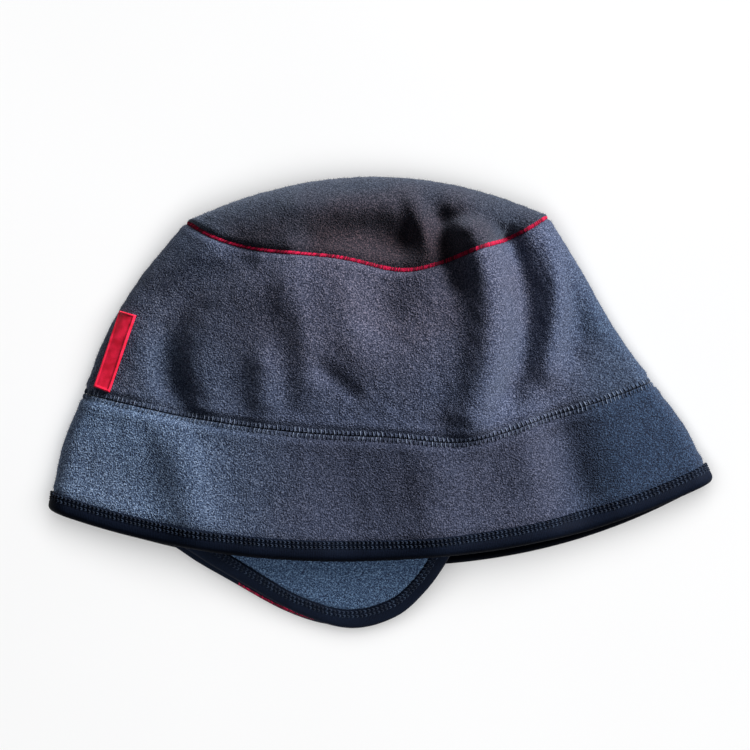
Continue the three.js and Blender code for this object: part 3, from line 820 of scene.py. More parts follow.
@dataclass(frozen=True)
class Fleece:
    """Short pebbled fleece: dark between the curls, lighter at their tips, browner as painted shade.

    Factors on its colours run from the nape end through the middle to the forehead end. The nape end is
    lighter as painted light and, on the wall and band, the forehead end darker as painted shade. The brown
    painted shade lies over the cap's middle, broken by random patches, and a share sets its strength.
    """

    place: str
    worn_share: float
    # Colour factors of painted light and shade at the nape end, in the middle and at the forehead end
    nape: Colour
    middle: Colour
    forehead: Colour
    # The tint of the brown painted shade
    worn_tint: Colour = (1.14, 0.90, 0.80, 1)
    pit: Colour = (0.010, 0.017, 0.037, 1)
    body: Colour = (0.046, 0.072, 0.118, 1)
    tip: Colour = (0.158, 0.214, 0.290, 1)
    dark_fibre: Colour = (0.018, 0.027, 0.050, 1)
    light_fibre: Colour = (0.140, 0.195, 0.290, 1)

    def make_cloth(self) -> Material:
        """Builds the material of the panel."""
        shader = Shader(f"{self.place} fleece")
        curls = ((shader.noise(CURL_SCALE, 0.0, 0.5, 0.4) - 0.5) * 1.2 + 0.5).clamped()
        cell = {"Vector": shader.place, "Scale": PEBBLE_SCALE}
        pebbles = 1 - shader.read("ShaderNodeTexVoronoi", {"feature": "F1"}, cell, "Distance")
        hairs = shader.noise(HAIR_SCALE, 0.0, 0.5)
        grain = curls * CURL_SHARE + pebbles * PEBBLE_SHARE + hairs * HAIR_SHARE
        stops = [(0.31, self.pit), (0.51, self.body), (0.73, self.tip)]
        tone = shader.read("ShaderNodeValToRGB", {"stops": stops}, {"Fac": grain})
        x, y = (shader.read("ShaderNodeSeparateXYZ", {}, {0: shader.place}, axis) for axis in "XY")
        # A brown tint of painted shade over the cap's middle, broken up by random patches
        aside, above = x - BROWN_SHADE_MIDDLE[0], y - BROWN_SHADE_MIDDLE[1]
        far = (aside * aside * BROWN_SHADE_FALL[0] + above * above * BROWN_SHADE_FALL[1]) ** 0.5
        middle = 1 - far.between(*BROWN_SHADE_RANGE)
        patches = shader.noise(PATCH_SCALE, 2.0, 0.5)
        brown_shade_and_patches = (middle * 0.75 + patches.between(*PATCH_RANGE) * 0.5).clamped() * self.worn_share
        tinted = shader.mix(brown_shade_and_patches, (1, 1, 1, 1), self.worn_tint)
        # Painted light towards the nape end and painted shade towards the forehead end
        shade = shader.mix(x.between(*NAPE_PAINTED_LIGHT_SPAN), self.nape, self.middle)
        shade = shader.mix(x.between(*FOREHEAD_PAINTED_SHADE_SPAN), shade, self.forehead)
        colour = shader.times(shader.times(tone, tinted), shade)
        return shader.finish({
            "Base Color": shader.mix(shader.attribute("seam") * SEAM_DARKENING, colour, self.pit),
            "Roughness": 0.86 + hairs * 0.14,
            "Normal": shader.bumped(grain, 0.0009, 0.8),
            "Specular IOR Level": 0.18,
            "Sheen Weight": 0.16,
            "Sheen Roughness": 0.5,
            "Sheen Tint": (0.62, 0.72, 0.95, 1),
        })

    def make_nap(self) -> Material:
        """Builds the material of the loose fibres, each a little lighter or darker."""
        shader = Shader(f"{self.place} fleece nap")
        colour = shader.mix(shader.attribute("shade"), self.dark_fibre, self.light_fibre)
        # The panel's middle factor of painted light and shade goes on the fibres too
        colour = shader.times(colour, self.middle)
        return shader.finish({"Base Color": colour, "Roughness": 0.9, "Specular IOR Level": 0.1})


class Dress:
    """The two materials of a fleece panel."""

    def __init__(self, fleece: Fleece) -> None:
        """Makes them."""
        self.cloth = fleece.make_cloth()
        self.nap = fleece.make_nap()


@dataclass(frozen=True)
class TapeFinish:
    """Navy knitted tape with fine ribs across it."""

    name: str = "navy tape"
    deep: Colour = (0.0014, 0.0026, 0.0068, 1)
    face: Colour = (0.0040, 0.0075, 0.0180, 1)

    def make(self) -> Material:
        """Builds the material."""
        shader = Shader(self.name)
        knit = shader.noise(1500, 2.0, 0.55)
        broad = shader.noise(60, 2.0, 0.5)
        along = shader.read("ShaderNodeUVMap", {"uv_map": "cloth"}, {})
        wave = {"Vector": along, "Scale": 420.0, "Distortion": 1.5, "Detail": 1.0, "Detail Scale": 2.0}
        ribs = shader.read("ShaderNodeTexWave", {"wave_type": "BANDS", "bands_direction": "X"}, wave, 1)
        height = ribs * 0.22 + knit * 0.78
        colour = shader.mix((height * 0.75 + broad * 0.4).between(0.3, 0.85), self.deep, self.face)
        return shader.finish({
            "Base Color": colour,
            "Roughness": 0.62 + knit * 0.2,
            "Normal": shader.bumped(height, 0.0002, 0.5),
            "Specular IOR Level": 0.045,
        })


@dataclass(frozen=True)
class ThreadFinish:
    """Spun sewing thread."""

    name: str
    dark: Colour
    light: Colour
    roughness: float = 0.6

    def make(self) -> Material:
        """Builds the material."""
        shader = Shader(self.name)
        twist = shader.noise(2600, 2.0, 0.6)
        tone = (twist * 0.5 + shader.attribute("shade") * 0.5).between(0.25, 0.75)
        colour = shader.mix(tone, self.dark, self.light)
        return shader.finish({
            "Base Color": colour,
            "Roughness": self.roughness + twist * 0.2,
            "Normal": shader.bumped(twist, 0.00012, 0.6),
            "Specular IOR Level": 0.2,
        })


@dataclass(frozen=True)
class RubberFinish:
    """Moulded red rubber with a fine satin grain."""

    name: str = "red rubber"
    deep: Colour = (0.60, 0.008, 0.030, 1)
    face: Colour = (1.0, 0.020, 0.075, 1)

    def make(self) -> Material:
        """Builds the material."""
        shader = Shader(self.name)
        grain = shader.noise(2400, 2.0, 0.5)
        cloud = shader.noise(220, 2.0, 0.5)
        colour = shader.mix((cloud * 0.8 + grain * 0.2).between(0.3, 0.7), self.deep, self.face)
        return shader.finish({
            "Base Color": colour,
            "Roughness": 0.42 + cloud * 0.18,
            "Normal": shader.bumped(grain, 0.00006, 0.5),
            "Specular IOR Level": 0.22,
        })


# Seeds of the random shade, lean, turn and size of fibres and stitches, the sizes these vary between, and the
# least lean as a share of the most
SHADE_SEED, LEAN_SEED, TURN_SEED, FIBRE_SEED, STITCH_SEED = 77, 11, 12, 13, 21
FIBRE_SIZES = (0.55, 1.25)
STITCH_SIZES = (0.9, 1.1)
LEAST_LEAN = 0.35
FULL_TURN = 6.2832


class GeometryTree(NodeTree):
    """A Geometry Nodes tree with named inputs, which makes one plain mesh at the end."""

    def __init__(self, name: str, inputs: dict[str, str]) -> None:
        """Makes the tree and its inputs.

        Args:
            name: The tree's name.
            inputs: Kind of each input, by its name.
        """
        super().__init__(bpy.data.node_groups.new(name, "GeometryNodeTree"))
        face = self.tree.interface
        face.new_socket(name="Geometry", in_out="INPUT", socket_type="NodeSocketGeometry")
        face.new_socket(name="Geometry", in_out="OUTPUT", socket_type="NodeSocketGeometry")
        self.identifiers = {
            label: face.new_socket(name=label, in_out="INPUT", socket_type=f"NodeSocket{kind}").identifier
            for label, kind in {**inputs, "Material": "Material"}.items()
        }
        self.start = self.node("NodeGroupInput").outputs

    def named(self, name: str, data_type: str = "FLOAT_VECTOR") -> Value:
        """A value stored on the geometry."""
        return self.read("GeometryNodeInputNamedAttribute", {"data_type": data_type}, {"Name": name})

    def random(self, low: object, high: object, seed: object) -> Value:
        """A random number for each point, between two numbers or links."""
        return self.read("FunctionNodeRandomValue", {"data_type": "FLOAT"}, {2: low, 3: high, 8: seed}, 1)

    def vector(self, *parts: object) -> Value:
        """A vector of three numbers or links."""
        return self.read("ShaderNodeCombineXYZ", {}, dict(enumerate(parts)))

    def fill(self, points: Value, shape: Value, facing: Value, tilt: Value, scale: Value) -> None:
        """Puts a shape on each point, gives all of them a shade and the material, and ends the tree.

        Args:
            points: The points.
            shape: The mesh that goes on each of them.
            facing: How each of them faces.
            tilt: Further turn of the shape, in radians round X, Y and Z.
            scale: Size of the shape.
        """
        more = self.read("FunctionNodeEulerToRotation", {}, {0: tilt})
        turned = self.read("FunctionNodeRotateRotation", {"rotation_space": "LOCAL"}, {0: facing, 1: more})
        inputs = {"Points": points, "Instance": shape, "Rotation": turned, "Scale": scale}
        placed = self.read("GeometryNodeInstanceOnPoints", {}, inputs)
        stored = {"Geometry": placed, "Name": "shade", "Value": self.random(0.0, 1.0, SHADE_SEED)}
        settings = {"data_type": "FLOAT", "domain": "INSTANCE"}
        shaded = self.read("GeometryNodeStoreNamedAttribute", settings, stored)
        real = self.read("GeometryNodeRealizeInstances", {}, {0: shaded})
        inputs = {"Geometry": real, "Material": self.start["Material"]}
        self.node("NodeGroupOutput", {}, {0: self.read("GeometryNodeSetMaterial", {}, inputs)})

    def grow(self, host: Piece, name: str, values: dict[str, object]) -> Piece:
        """Runs the tree on an object and keeps the result as a plain mesh.

        Args:
            host: The object whose mesh the tree starts from.
            name: Name of the new piece.
            values: Value of each input, by its name.

        Returns:
            The new piece.
        """
        modifier = host.modifiers.new(name, "NODES")
        modifier.node_group = self.tree
        for label, value in values.items():
            modifier[self.identifiers[label]] = value
        host.update_tag()
        graph = bpy.context.evaluated_depsgraph_get()
        mesh = bpy.data.meshes.new_from_object(host.evaluated_get(graph))
        host.modifiers.remove(modifier)
        mesh.name = name
        mesh.shade_smooth()
        return new_object(name, mesh)


class NapTree(GeometryTree):
    """Scatters short leaning fibres over the faces whose attribute nap is 1."""

    def __init__(self) -> None:
        """Builds the tree."""
        kinds = ("Density", "Spacing", "Length", "Radius", "Lean")
        super().__init__("nap fibres", {**{kind: "Float" for kind in kinds}, "Seed": "Int"})
        start = self.start
        spread = self.node(
            "GeometryNodeDistributePointsOnFaces",
            {"distribute_method": "POISSON"},
            {
                "Mesh": start["Geometry"],
                "Distance Min": start["Spacing"],
                "Density Max": start["Density"],
                "Density Factor": self.named("nap", "FLOAT"),
                "Seed": start["Seed"],
            },
        ).outputs
        sizes = {"Vertices": 3, "Radius Top": 0.0, "Radius Bottom": start["Radius"], "Depth": start["Length"]}
        fibre = self.read("GeometryNodeMeshCone", {"fill_type": "NGON"}, sizes, "Mesh")
        lean = self.random(self.math("MULTIPLY", start["Lean"], LEAST_LEAN), start["Lean"], LEAN_SEED)
        tilt = self.vector(lean, 0.0, self.random(0.0, FULL_TURN, TURN_SEED))
        scale = self.vector(1.0, 1.0, self.random(*FIBRE_SIZES, FIBRE_SEED))
        self.fill(spread["Points"], fibre, spread["Rotation"], tilt, scale)


class StitchTree(GeometryTree):
    """Repeats a stitch along a path whose points hold the vectors across and up."""

    def __init__(self) -> None:
        """Builds the tree."""
        kinds = {"Stitch": "Object", "Pitch": "Float", "Wobble": "Float", "Seed": "Int"}
        super().__init__("stitch run", kinds)
        start = self.start
        curve = self.read("GeometryNodeMeshToCurve", {}, {0: start["Geometry"]})
        length = {"Curve": curve, "Length": start["Pitch"]}
        even = self.read("GeometryNodeResampleCurve", {"mode": "LENGTH"}, length)
        axes = {"primary_axis": "Z", "secondary_axis": "Y"}
        facing = self.read("FunctionNodeAxesToRotation", axes, {0: self.named("up"), 1: self.named("across")})
        sway = self.random(self.math("MULTIPLY", start["Wobble"], -1.0), start["Wobble"], start["Seed"])
        own = {"transform_space": "ORIGINAL"}
        shape = self.read("GeometryNodeObjectInfo", own, {0: start["Stitch"]}, "Geometry")
        size = self.random(*STITCH_SIZES, STITCH_SEED)
        self.fill(even, shape, facing, self.vector(0.0, 0.0, sway), self.vector(1.0, size, size))


@dataclass(frozen=True)
class Strand:
    """A stretch of thread of a stitch. x runs along the seam, y across it and z out of the cloth."""

    points: tuple[Triple, ...]
    radius: float
    sides: int = 5

    def rings(self) -> Array:
        """Corners of the strand, ring by ring, in millimetres."""
        line = np.array(self.points, float)
        ways = unit(np.gradient(line, axis=0))
        side = unit(np.cross(ways, np.array([0.0, 0.02, 1.0])))
        out = np.cross(side, ways)
        angles = np.arange(self.sides) * 2 * math.pi / self.sides
        end_taper = 0.7
        taper = np.full(len(line), self.radius)
        taper[[0, -1]] *= end_taper
        ring = np.cos(angles)[None, :, None] * side[:, None] + np.sin(angles)[None, :, None] * out[:, None]
        return line[:, None] + ring * taper[:, None, None]

    def mirrored(self) -> "Strand":
        """The same strand on the other side of the seam."""
        return Strand(tuple((x, -y, z) for x, y, z in self.points), self.radius)


def stitch_shape(name: str, strands: list[Strand]) -> Piece:
    """A hidden object that holds one stitch, made of closed strands."""
    corners, faces, start = [], [], 0
    for strand in strands:
        rings = strand.rings()
        rows, sides = rings.shape[:2]
        corners.append(rings.reshape(-1, 3))
        for row in range(rows - 1):
            for side in range(sides):
                after = (side + 1) % sides
                low, high = start + row * sides, start + (row + 1) * sides
                faces.append((low + side, low + after, high + after, high + side))
        faces.append(tuple(start + side for side in reversed(range(sides))))
        faces.append(tuple(start + (rows - 1) * sides + side for side in range(sides)))
        start += rows * sides
    made = as_mesh(name, np.concatenate(corners), faces)
    work = bmesh.new()
    work.from_mesh(made.data)
    bmesh.ops.recalc_face_normals(work, faces=work.faces)
    work.to_mesh(made.data)
    work.free()
    made.hide_render = True
    return made


@dataclass
class Path:
    """A line on the cloth, with the directions across it and out of the cloth."""

    points: Array
    across: Array
    up: Array
    closed: bool = False

    def moved(self, across: float, up: float) -> "Path":
        """The path moved across the cloth and out of it, in millimetres."""
        points = self.points + self.across * across + self.up * up
        return Path(points, self.across, self.up, self.closed)

    def after(self, share: float) -> "Path":
        """The open path without its first share."""
        first = int(len(self.points) * share)
        return Path(self.points[first:], self.across[first:], self.up[first:])

    def host(self, name: str) -> Piece:
        """A hidden object with the path as edges, pressed into the cloth where that lies on the table."""
        count = len(self.points)
        edges = [(i, i + 1) for i in range(count - 1)] + ([(count - 1, 0)] if self.closed else [])
        mesh = bpy.data.meshes.new(name)
        points = self.points.copy()
        points[:, 2] = np.maximum(points[:, 2], PRESSED_THREAD)
        mesh.from_pydata((points * MM).tolist(), edges, [])
        for label, values in (("across", self.across), ("up", self.up)):
            stored = mesh.attributes.new(label, "FLOAT_VECTOR", "POINT")
            stored.data.foreach_set("vector", np.asarray(values, np.float32).ravel())
        made = new_object(name, mesh)
        made.hide_render = True
        return made


def path_between(points: Array, above: Array, up: Array, closed: bool = False) -> Path:
    """A path through points, with across pointing to other points beside it."""
    across = above - points
    across = across - up * (across * up).sum(axis=-1, keepdims=True)
    return Path(points, unit(across), up, closed)


class Workshop:
    """What the sub-assemblies share: the form, the finishes and the node trees."""

    def __init__(self) -> None:
        """Makes the finishes and the trees."""
        self.form = CapForm()
        # Factors on each panel's fleece colour at the nape end, the middle and the forehead end. One fleece
        # gets lighter or darker factors from panel to panel as painted light and shade; the crown's low
        # factors are painted shade.
        crown = (0.48, 0.47, 0.49, 1), (0.31, 0.29, 0.31, 1), (0.33, 0.35, 0.40, 1)
        wall = (0.90, 0.84, 0.90, 1), (0.80, 0.69, 0.77, 1), (0.42, 0.48, 0.58, 1)
        band = (1.62, 1.66, 1.76, 1), (0.58, 0.48, 0.54, 1), (0.22, 0.30, 0.41, 1)
        flap = (0.76, 0.90, 1.04, 1)
        # The crown's strong brown tint is painted shade
        self.crown_fleece = Dress(Fleece("crown", 0.95, *crown, worn_tint=(1.45, 0.74, 0.60, 1)))
        self.wall_fleece = Dress(Fleece("wall", 0.9, *wall))
        self.band_fleece = Dress(Fleece("band", 0.35, *band))
        self.flap_fleece = Dress(Fleece("flap", 0.0, flap, flap, flap))
        self.tape = TapeFinish().make()
        self.rubber = RubberFinish().make()
        red = (0.12, 0.001, 0.014, 1), (0.56, 0.005, 0.058, 1)
        grey = (0.030, 0.042, 0.070, 1), (0.155, 0.195, 0.270, 1)
        navy = (0.004, 0.008, 0.018, 1), (0.015, 0.026, 0.050, 1)
        self.red_thread = ThreadFinish("red thread", *red).make()
        self.grey_thread = ThreadFinish("grey thread", *grey).make()
        self.navy_thread = ThreadFinish("navy thread", *navy).make()
        self.nap_tree = NapTree()
        self.stitch_tree = StitchTree()
        self.spares: list[Piece] = []

    def keep(self, piece: Piece, slot: str, material: Material) -> Piece:
        """Makes a finished piece part of the object.

        Args:
            piece: The piece.
            slot: Not used.
            material: Its material.

        Returns:
            The piece.
        """
        piece.data.materials.clear()
        piece.data.materials.append(material)
        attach(piece, "root")
        LOG.info("%s: %d faces", piece.name, len(piece.data.polygons))
        return piece

    def sew(
        self,
        name: str,
        path: Path,
        strands: list[Strand],
        pitch: float,
        slot: str,
        material: Material,
        wobble: float = 0.12,
        seed: int = 1,
    ) -> None:
        """Sews a run of stitches along a path.

        Args:
            name: Name of the piece.
            path: Where it runs.
            strands: One stitch.
            pitch: From one stitch to the next, in millimetres.
            slot: The record's slot of the thread.
            material: The thread's material.
            wobble: How far a stitch turns at random, in radians.
            seed: Seed of that turn.
        """
        shape = stitch_shape(f"{name}_shape", strands)
        host = path.host(f"{name}_path")
        values = {"Stitch": shape, "Pitch": pitch * MM, "Wobble": wobble, "Seed": seed, "Material": material}
        made = self.stitch_tree.grow(host, name, values)
        self.spares += [shape, host]
        self.keep(made, slot, material)

    def cut(
        self,
        name: str,
        fleece: Dress,
        base: Array,
        normals: Array,
        height: Array,
        thickness: float = FLEECE,
        **lie: object,
    ) -> Piece:
        """Makes a panel of fleece.

        Args:
            name: The panel's name.
            fleece: Its finishes.
            base: Grid of its outer face, in millimetres.
            normals: Normals of the same points.
            height: How far each point is raised.
            thickness: Of the fleece.
            lie: What shell takes besides its name and its grids.

        Returns:
            The panel.
        """
        made = shell(name, base + normals * height[..., None], base - normals * thickness, **lie)
        return self.keep(made, "fleece", fleece.cloth)

    def raise_nap(self, cloth: Piece, fleece: Dress, seed: int) -> None:
        """Grows the loose fibres on a panel, given the seed of their places."""
        size = {"Spacing": NAP_SPACING * MM, "Length": NAP_LENGTH * MM, "Radius": NAP_RADIUS * MM}
        values = {**size, "Density": NAP_DENSITY, "Lean": NAP_LEAN, "Seed": seed, "Material": fleece.nap}
        self.keep(self.nap_tree.grow(cloth, f"{cloth.name}_nap", values), "fleece", fleece.nap)

    def clear(self) -> None:
        """Removes the shapes and paths that only served to make pieces."""
        for spare in self.spares:
            bpy.data.objects.remove(spare)
        self.spares.clear()


def ring_turns(front: int, rear: int, fold: int) -> Array:
    """The turns of one walk round the cap, given the steps of its parts."""
    parts = (fold, front, fold, fold, rear, fold)
    return np.concatenate([part + np.arange(steps) / steps for part, steps in enumerate(parts)])


def seam_mark(distance: Array, reach: float) -> Array:
    """A mark that fades from 1 at a seam to 0 at a distance."""
    return 1 - smooth(distance, 0.2 * reach, reach)


# How far the dark line beside each seam reaches, and between which distances the loose fibres start
BAND_MARK, CROWN_MARK = 0.8, 1.6
BARE_AT_BAND = (1.9, 2.6)
BARE_AT_CROWN = (0.7, 1.4)
BARE_AT_TAPE = (TAPE_LEG - 0.5, TAPE_LEG + 0.3)


@dataclass
class RingPanel:
    """A panel of fleece all round the cap, with the steps of its grid and its flat size in metres."""

    shop: Workshop
    front_steps: int
    rear_steps: int
    rows: int
    flat: tuple[float, float]
    fold_steps: int = 9

    def grid(self, low: float, high: float, margin: float) -> tuple[Array, Array]:
        """The outer face between two stations, with a margin where rows are closer, and its normals."""
        turns = ring_turns(self.front_steps, self.rear_steps, self.fold_steps)[None]
        stations = clustered(low, high, self.rows, margin)[:, None]
        return self.shop.form.point(turns, stations), self.shop.form.normal(turns, stations)


class Band(RingPanel):
    """The wide band of fleece between the rim and the band seam."""

    def build(self) -> None:
        """Builds and dresses the band."""
        base, normals = self.grid(RIM, BAND_SEAM - SEAM_STEP, 0.05)
        from_rim, to_seam = distances(base)
        free = smooth(from_rim, TAPE_LEG + 1.0, TAPE_LEG + 4.0)
        height = below_tape_profile(from_rim) + cover_seam_profile(to_seam)
        height += free * rippled(base, (3, 9.0, 0.06), (4, 3.4, 0.05))
        bare = np.maximum(1 - smooth(to_seam, *BARE_AT_BAND), 1 - smooth(from_rim, *BARE_AT_TAPE))
        seam = seam_mark(to_seam, BAND_MARK)
        fleece, lie = self.shop.band_fleece, {"closed": True, "seam": seam, "bare": bare}
        band = self.shop.cut("band_cloth", fleece, base, normals, height, **lie)
        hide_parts("band")
        self.shop.raise_nap(band, fleece, seed=31)


class CrownSide(RingPanel):
    """The narrowing wall between the band seam and the crown seam."""

    def build(self) -> None:
        """Builds and dresses the wall."""
        base, normals = self.grid(BAND_SEAM + SEAM_STEP, CROWN_SEAM - 2 * SEAM_STEP, 0.04)
        from_band, to_crown = distances(base)
        free = smooth(from_band, 2.0, 5.0) * smooth(to_crown, 1.0, 4.0)
        height = cover_seam_profile(from_band) + crown_seam_profile(to_crown)
        height += free * rippled(base, (5, 10.0, 0.07), (6, 3.6, 0.05))
        seam = np.maximum(seam_mark(from_band, BAND_MARK), seam_mark(to_crown, CROWN_MARK))
        bare = np.maximum(1 - smooth(from_band, *BARE_AT_BAND), 1 - smooth(to_crown, *BARE_AT_CROWN))
        fleece, lie = self.shop.wall_fleece, {"closed": True, "seam": seam, "bare": bare}
        wall = self.shop.cut("crown_side_cloth", fleece, base, normals, height, **lie)
        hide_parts("crown_side")
        self.shop.raise_nap(wall, fleece, seed=32)


@dataclass
class CrownTip:
    """The oval panel that closes the crown, folded over along the top of the outline."""

    shop: Workshop
    steps: int = 300
    fold_steps: int = 9
    front_rows: int = 26
    front_crowding: float = 1.25
    rear_rows: int = 12
    rear_crowding: float = 1.1
    flat: tuple[float, float] = (0.176, 0.084)
    area_share: float = 0.8

    def build(self) -> None:
        """Builds and dresses the panel."""
        form = self.shop.form
        turns = np.concatenate([
            np.arange(self.fold_steps) / self.fold_steps,
            1 + np.arange(self.steps) / self.steps,
            2 + np.arange(self.fold_steps + 1) / self.fold_steps,
        ])[None]
        front = (np.linspace(0, 1, self.front_rows) ** self.front_crowding * math.pi / 2)[:, None]
        rear = (np.linspace(1, 0, self.rear_rows)[1:] ** self.rear_crowding * math.pi / 2)[:, None]
        halves = form.crown_point(turns, Wall.FRONT, front), form.crown_point(turns, Wall.REAR, rear)
        base = np.concatenate(halves)
        normals = unit(np.cross(np.gradient(base, axis=1), np.gradient(base, axis=0)))
        at_seam = np.full(turns[0].shape, CROWN_SEAM)
        normals[0], normals[-1] = form.normal(turns[0], at_seam), form.normal(6 - turns[0], at_seam)
        normals[:, 0], normals[:, -1] = normals[0, 0].copy(), normals[0, -1].copy()
        near = np.minimum(*distances(base))
        ends = smooth(np.minimum(turns, 3 - turns), 0, 0.5)
        ripple = rippled(base, (7, 9.0, 0.07), (8, 3.6, 0.05))
        height = crown_seam_profile(near) * ends + smooth(near, 1.0, 4.0) * ends * ripple
        seam, bare = seam_mark(near, CROWN_MARK), 1 - smooth(near, *BARE_AT_CROWN)
        fleece, lie = self.shop.crown_fleece, {"closed": False, "merged": True, "seam": seam, "bare": bare}
        tip = self.shop.cut("crown_tip_cloth", fleece, base, normals, height, **lie)
        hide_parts("crown_tip")
        area = self.flat[0] * self.flat[1] * self.area_share
        self.shop.raise_nap(tip, fleece, seed=33)


def tape_profile(legs: int, arc: int) -> tuple[Array, Array, Array]:
    """The section of a folded tape, from the end of its lower leg to the end of its upper leg.

    Args:
        legs: Points on each leg.
        arc: Points on the arc round the raw edge.

    Returns:
        The distance up the leg of each point, its angle round the edge (0 on the upper face and half a
        turn on the lower one), and how far the tape's outer face stands off the cloth.
    """
    crowding = 0.9
    leg = TAPE_LEG * (1 - np.linspace(0, 1, legs) ** crowding)
    rows = np.concatenate([leg[:-1], np.zeros(arc), leg[:-1][::-1]])
    angles = np.concatenate([np.zeros(legs - 1), np.linspace(0, math.pi, arc), np.full(legs - 1, math.pi)])
    near_edge = bump(leg[:-1], centre=0.9, width=1.3)
    roll = 0.28 * np.concatenate([near_edge, np.ones(arc), near_edge[::-1]])
    sewn = 0.12 * bump(rows, centre=CHEVRON_LINE, width=1.5)
    end = rounded_edge(TAPE_LEG - rows, radius=0.7)
    return rows[::-1], angles[::-1], (GAP + TAPE + roll - sewn - end)[::-1]


class TapeEdge:
    """A raw edge that a tape goes round: the cloth's upper face near it."""

    def __init__(self, faces: Array, normals: Array, wall: float) -> None:
        """Keeps the cloth's upper face at distances 0 to TAPE_LEG from the edge.

        Args:
            faces: Points in rows, from the edge inwards in even steps.
            normals: Normals of the same points.
            wall: The cloth's thickness.
        """
        self.faces = faces
        self.normals = normals
        self.wall = wall
        inward = faces[1] - faces[0]
        inward = inward - normals[0] * (inward * normals[0]).sum(axis=-1, keepdims=True)
        self.down = -unit(inward)

    def face_at(self, distance: float) -> tuple[Array, Array]:
        """The cloth's upper face at a distance from its edge, and its normals."""
        place = distance / TAPE_LEG * (len(self.faces) - 1)
        low = min(int(place), len(self.faces) - 2)
        face = lerp(self.faces[low], self.faces[low + 1], place - low)
        return face, unit(lerp(self.normals[low], self.normals[low + 1], place - low))

    def at(self, distance: float, angle: float, stand_off: float) -> Array:
        """Points of a tape at a distance up its leg and an angle round the edge."""
        if distance <= 0:
            middle = self.faces[0] - self.normals[0] * self.wall / 2
            around = self.normals[0] * math.cos(angle) + self.down * math.sin(angle)
            return middle + around * (self.wall / 2 + stand_off)
        face, normal = self.face_at(distance)
        return face + normal * (stand_off if angle < 1 else -self.wall - stand_off)

    def tape(self, name: str, closed: bool, shop: Workshop) -> Piece:
        """The tape as a closed shell, with a UV map that runs along it."""
        rows, angles, stand = tape_profile(legs=11, arc=13)
        outer = np.stack([self.at(d, a, s) for d, a, s in zip(rows, angles, stand)])
        inner = np.stack([self.at(d, a, GAP) for d, a in zip(rows, angles)])
        made = shell(name, outer, inner, closed)
        along, section = run_length(self.faces[0]), run_length(outer[:, 0])
        grid = np.stack(np.broadcast_arrays(along[None], section[:, None]), axis=-1).reshape(-1, 2) * MM
        both = np.concatenate([grid, grid])
        layer = made.data.uv_layers.new(name="cloth")
        corner = np.empty(len(made.data.loops), np.int32)
        made.data.loops.foreach_get("vertex_index", corner)
        layer.data.foreach_set("uv", both[corner].astype(np.float32).ravel())
        return shop.keep(made, "binding", shop.tape)

    def line(self, distance: float, stand_off: float, closed: bool) -> Path:
        """A path on the upper leg of the tape."""
        points = self.at(distance, 0.0, stand_off)
        above = self.at(distance + 0.6, 0.0, stand_off)
        return path_between(points, above, self.face_at(distance)[1], closed)

    def roll_line(self, angle: float, stand_off: float) -> Path:
        """An open path on the tape's roll, at an angle round the edge."""
        up = self.normals[0] * math.cos(angle) + self.down * math.sin(angle)
        return path_between(self.at(0, angle, stand_off), self.at(0, angle - 0.2, stand_off), up)

    def under_line(self, distance: float, stand_off: float, closed: bool) -> Path:
        """A path on the lower leg of the tape."""
        upper = self.line(distance, stand_off, closed)
        points = upper.points - upper.up * (self.wall + 2 * stand_off)
        return Path(points, upper.across, -upper.up, closed)


# One stitch of each kind, the pitch of the chevrons and how far up the tape their middle runs
OUTER_LEG = Strand(((-0.75, 1.75, -0.1), (-0.1, 1.4, 0.3), (0.6, 0.95, 0.05)), 0.27)
INNER_LEG = Strand(((-0.75, 0.15, -0.1), (-0.1, 0.5, 0.3), (0.6, 0.9, 0.05)), 0.27)
CHEVRON = [OUTER_LEG, INNER_LEG, INNER_LEG.mirrored(), OUTER_LEG.mirrored()]
CHEVRON_PITCH = 1.9
CHEVRON_LINE = 4.0
RUNNING_PITCH = 2.0
RUNG = [Strand(((0, -1.2, -0.25), (0.08, -0.6, 0.16), (0.08, 0.6, 0.16), (0, 1.2, -0.25)), 0.22)]
SLANT = [Strand(((-0.4, -1.0, -0.25), (-0.15, -0.4, 0.1), (0.15, 0.4, 0.1), (0.4, 1.0, -0.25)), 0.2)]
RUNNING = [Strand(((-0.8, 0, -0.2), (-0.4, 0, 0.1), (0.4, 0, 0.1), (0.8, 0, -0.2)), 0.17)]
RED_SATIN = [
    Strand(((-0.35, -1.1, -0.35), (-0.15, -0.55, 0.14), (0.15, 0.55, 0.14), (0.35, 1.1, -0.35)), 0.19)
]
LOOP_LEG = Strand(((-0.45, 0.8, -0.3), (0.0, 0.45, 0.1), (0.45, 0.0, 0.05)), 0.24)
RED_LOOP = [LOOP_LEG, LOOP_LEG.mirrored()]


@dataclass
class RimBinding:
    """The tape folded round the rim and the stitches that hold it."""

    shop: Workshop
    front_steps: int = 300
    rear_steps: int = 220
    fold_steps: int = 9

    def build(self) -> None:
        """Builds the tape and sews it on."""
        form = self.shop.form
        turns = ring_turns(self.front_steps, self.rear_steps, self.fold_steps)
        stations = np.linspace(RIM, TAPE_LEG_STATION, 7)[:, None]
        edge = TapeEdge(form.point(turns[None], stations), form.normal(turns[None], stations), FLEECE)
        tape = edge.tape("rim_tape", True, self.shop)
        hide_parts("rim_binding")
        sew, navy = self.shop.sew, self.shop.navy_thread
        over, under = edge.line(CHEVRON_LINE, TAPE_TOP, True), edge.under_line(CHEVRON_LINE, TAPE_TOP, True)
        sew("rim_tape_stitches", over, CHEVRON, CHEVRON_PITCH, "binding", navy, wobble=0.08, seed=41)
        sew("rim_tape_inner_stitches", under, RUNNING, RUNNING_PITCH, "binding", navy, seed=42)


@dataclass(frozen=True)
class TapeSeam:
    """How a flap's tape is sewn on: its stitch, and whether it runs on the roll and from where."""

    thread: Material
    slot: str
    strands: list[Strand]
    pitch: float
    on_roll: bool = False
    start: float = 0.0


